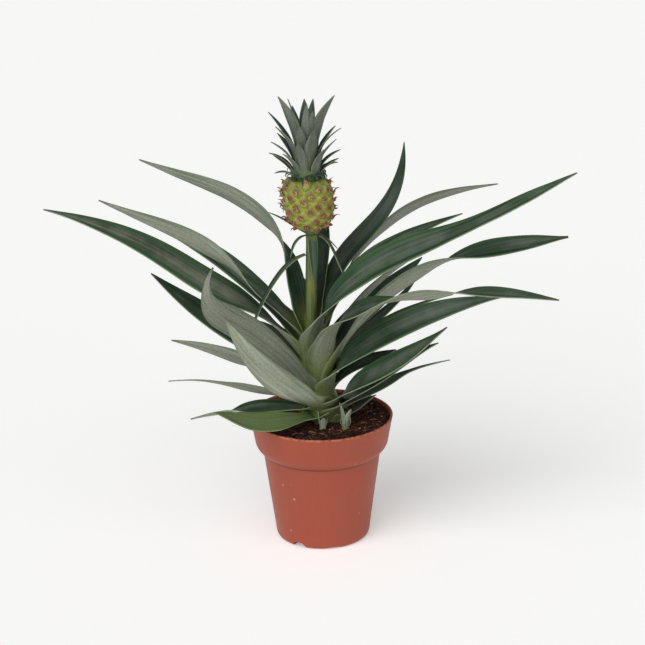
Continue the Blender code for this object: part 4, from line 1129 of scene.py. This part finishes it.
class PLANT_OT_leaves(bpy.types.Operator):
    """Make the long strap leaves"""
    bl_idname = "plant.leaves"
    bl_label = "Strap leaves"

    def execute(self, context):
        looks = context.scene.plant_looks
        skins = leaf_skins(looks)
        for leaf in LEAVES:
            name, height, side, length = leaf[:4]
            out = between(STEM_RADIUS, height)[0] + 1.15
            piece = blade(name.replace("leaf", "strap"), skins, beside_axis(height, side, out), leaf,
                          max(24, round(length / 4)), 10, (22, 20, 14), clasp=out,
                          thickness=looks.leaf_thickness / MM, looks=LEAF_LOOKS.get(name, USUAL_LOOKS))
            finish(piece, None, "leaf_blade", name)
        return {"FINISHED"}


class PLANT_OT_bracts(bpy.types.Operator):
    """Make the narrow bracts on the stalk"""
    bl_idname = "plant.bracts"
    bl_label = "Stalk bracts"

    def execute(self, context):
        skins = leaf_skins(context.scene.plant_looks)
        for leaf in BRACTS:
            name, height, side = leaf[:3]
            root = beside_axis(height, side, STALK_RADIUS + 0.5)
            piece = blade(name + "_strap", skins, root, leaf, 24, 6, (35, 25, 15), thickness=0.7, wave=0.1)
            finish(piece, None, "bract", name)
        return {"FINISHED"}


class PLANT_OT_fruit(bpy.types.Operator):
    """Make the fruit with its eyes and small dry bracts"""
    bl_idname = "plant.fruit"
    bl_label = "Fruit"

    def execute(self, context):
        looks = context.scene.plant_looks
        finish(make_fruit(looks), rind(looks), "fruit_rind", "fruit")
        paper = dry_bract()
        for piece in make_fruit_bracts(looks):
            finish(piece, paper, "fruit_rind")
        return {"FINISHED"}


class PLANT_OT_tuft(bpy.types.Operator):
    """Make the leafy tuft on top of the fruit"""
    bl_idname = "plant.tuft"
    bl_label = "Leafy tuft"

    def execute(self, context):
        skins = tuft_skins()
        foot = FRUIT_FOOT + FRUIT_LENGTH
        heights = [TUFT_LENGTH * i / 16 for i in range(17)]
        rows = [(foot - 1 + h, tuft_radius(h) * (0.9 if h < 0.85 * TUFT_LENGTH else 0.5)) for h in heights]
        core = tube("tuft_heart", rows, 32)
        finish(core, stalk_skin("tuft_heart_fleshy", "#5c6f3c", "#7c8c55", "#55653f"), "tuft_leaf",
               "tuft_core")
        for leaf in TUFT + TUFT_FILL:
            name, height, side = leaf[:3]
            radius = tuft_radius(height)
            root = beside_axis(foot + 0.4 + height, side, radius + 0.8)
            piece = blade(name + "_strap", skins, root, leaf, 22, 6, (40, 28, 16), clasp=radius + 1.0,
                          thickness=0.7, wave=0.15, looks=(0.5, 0.1))
            finish(piece, None, "tuft_leaf", *([name] if leaf in TUFT else []))
        finish(make_ruff(), skins[0], "tuft_leaf")
        return {"FINISHED"}


class PLANT_OT_shoots(bpy.types.Operator):
    """Make the two young shoots at the foot of the plant"""
    bl_idname = "plant.shoots"
    bl_label = "Young shoots"

    def execute(self, context):
        skins = leaf_skins(context.scene.plant_looks)
        for name, x, y, length, lean in SHOOTS:
            for k in range(3):
                side = lean + 120 * k
                leaf = (name, 0, side, length * (1 - 0.22 * k), length * 0.42,
                        ((0, 86, side, 0), (50, 84 - 6 * k, side, 0), (100, 78 - 12 * k, side, 0)))
                turn = math.radians(side)
                root = Vector((x + 2.2 * math.cos(turn), y + 2.2 * math.sin(turn), soil_level(x, y) + 1))
                piece = blade(f"{name}_leaf_{k}", skins, root, leaf, 16, 6, (70, 50, 20), clasp=2.8,
                              thickness=0.7, wave=0.1, looks=(0.9, 0.2))
                finish(piece, None, "young_leaf", *([name] if k == 0 else []))
        return {"FINISHED"}


class PLANT_OT_stage(bpy.types.Operator):
    """Make the floor, the lights and the camera"""
    bl_idname = "plant.stage"
    bl_label = "Studio"

    def execute(self, context):
        looks = context.scene.stage_looks
        floor = fresh(bpy.ops.mesh.primitive_circle_add, "studio_floor", vertices=96, radius=FLOOR_RADIUS,
                      fill_type="NGON")
        floor.data.materials.append(studio_floor(looks.floor_colour, looks.floor_glow))
        for name, place, power in (("key", (-1.1, -2.0, 2.2), looks.key_power),
                                   ("fill", (2.0, -1.8, 1.1), looks.fill_power)):
            bpy.ops.object.light_add(type="SUN", location=place)
            lamp = context.object
            lamp.name = name + "_light"
            lamp.data.energy = power
            lamp.data.angle = LAMP_SPREAD
            lamp.rotation_euler = (LAMP_AIM - Vector(place)).to_track_quat("-Z", "Y").to_euler()
        world = bpy.data.worlds.new("studio_room")
        world.use_nodes = True
        sky = world.node_tree.nodes["Background"].inputs
        sky[0].default_value = (1, 1, 1, 1)
        sky[1].default_value = looks.sky
        context.scene.world = world
        rise = looks.camera_rise
        back = Vector((0, -math.cos(rise), math.sin(rise)))
        level = Vector((0, math.sin(rise), math.cos(rise)))
        right = Vector((math.cos(CAMERA_TILT), 0, 0)) + level * math.sin(CAMERA_TILT)
        up = Vector((-math.sin(CAMERA_TILT), 0, 0)) + level * math.cos(CAMERA_TILT)
        bpy.ops.object.camera_add()
        camera = context.object
        camera.name = "studio_camera"
        camera.matrix_world = Matrix.Translation(CAMERA_AIM + back * looks.camera_reach) @ Matrix(
            (right, up, back)).transposed().to_4x4()
        camera.data.sensor_width = 36.0
        camera.data.lens = looks.camera_lens
        camera.data.clip_end = 50.0
        context.scene.camera = camera
        context.scene.view_settings.view_transform = "Standard"
        return {"FINISHED"}


class PLANT_PT_panel(bpy.types.Panel):
    """Lists the plant's pieces and settings in the sidebar"""
    bl_label = "Potted pineapple plant"
    bl_idname = "PLANT_PT_panel"
    bl_space_type = "VIEW_3D"
    bl_region_type = "UI"
    bl_category = "Plant"

    def draw(self, context):
        for step in STEPS:
            self.layout.operator(step.bl_idname)
        for group, kind in GROUPS.items():
            box = self.layout.box()
            box.label(text=kind.__doc__)
            for name in kind.__annotations__:
                box.prop(getattr(context.scene, group), name)


STEPS = (PLANT_OT_pot, PLANT_OT_soil, PLANT_OT_stem, PLANT_OT_leaves, PLANT_OT_bracts, PLANT_OT_fruit,
         PLANT_OT_tuft, PLANT_OT_shoots, PLANT_OT_stage)
GROUPS = {"plant_looks": PlantLooks, "pot_looks": PotLooks, "stage_looks": StageLooks}


def register():
    for kind in (*GROUPS.values(), *STEPS, PLANT_PT_panel):
        bpy.utils.register_class(kind)
    for name, kind in GROUPS.items():
        setattr(bpy.types.Scene, name, bpy.props.PointerProperty(type=kind))


def unregister():
    for name in GROUPS:
        delattr(bpy.types.Scene, name)
    for kind in reversed((*GROUPS.values(), *STEPS, PLANT_PT_panel)):
        bpy.utils.unregister_class(kind)


def main():
    register()
    bpy.ops.plant.pot()
    bpy.ops.plant.soil()
    bpy.ops.plant.stem()
    bpy.ops.plant.leaves()
    bpy.ops.plant.bracts()
    bpy.ops.plant.fruit()
    bpy.ops.plant.tuft()
    bpy.ops.plant.shoots()
    bpy.ops.plant.stage()


if __name__ == "__main__":
    main()
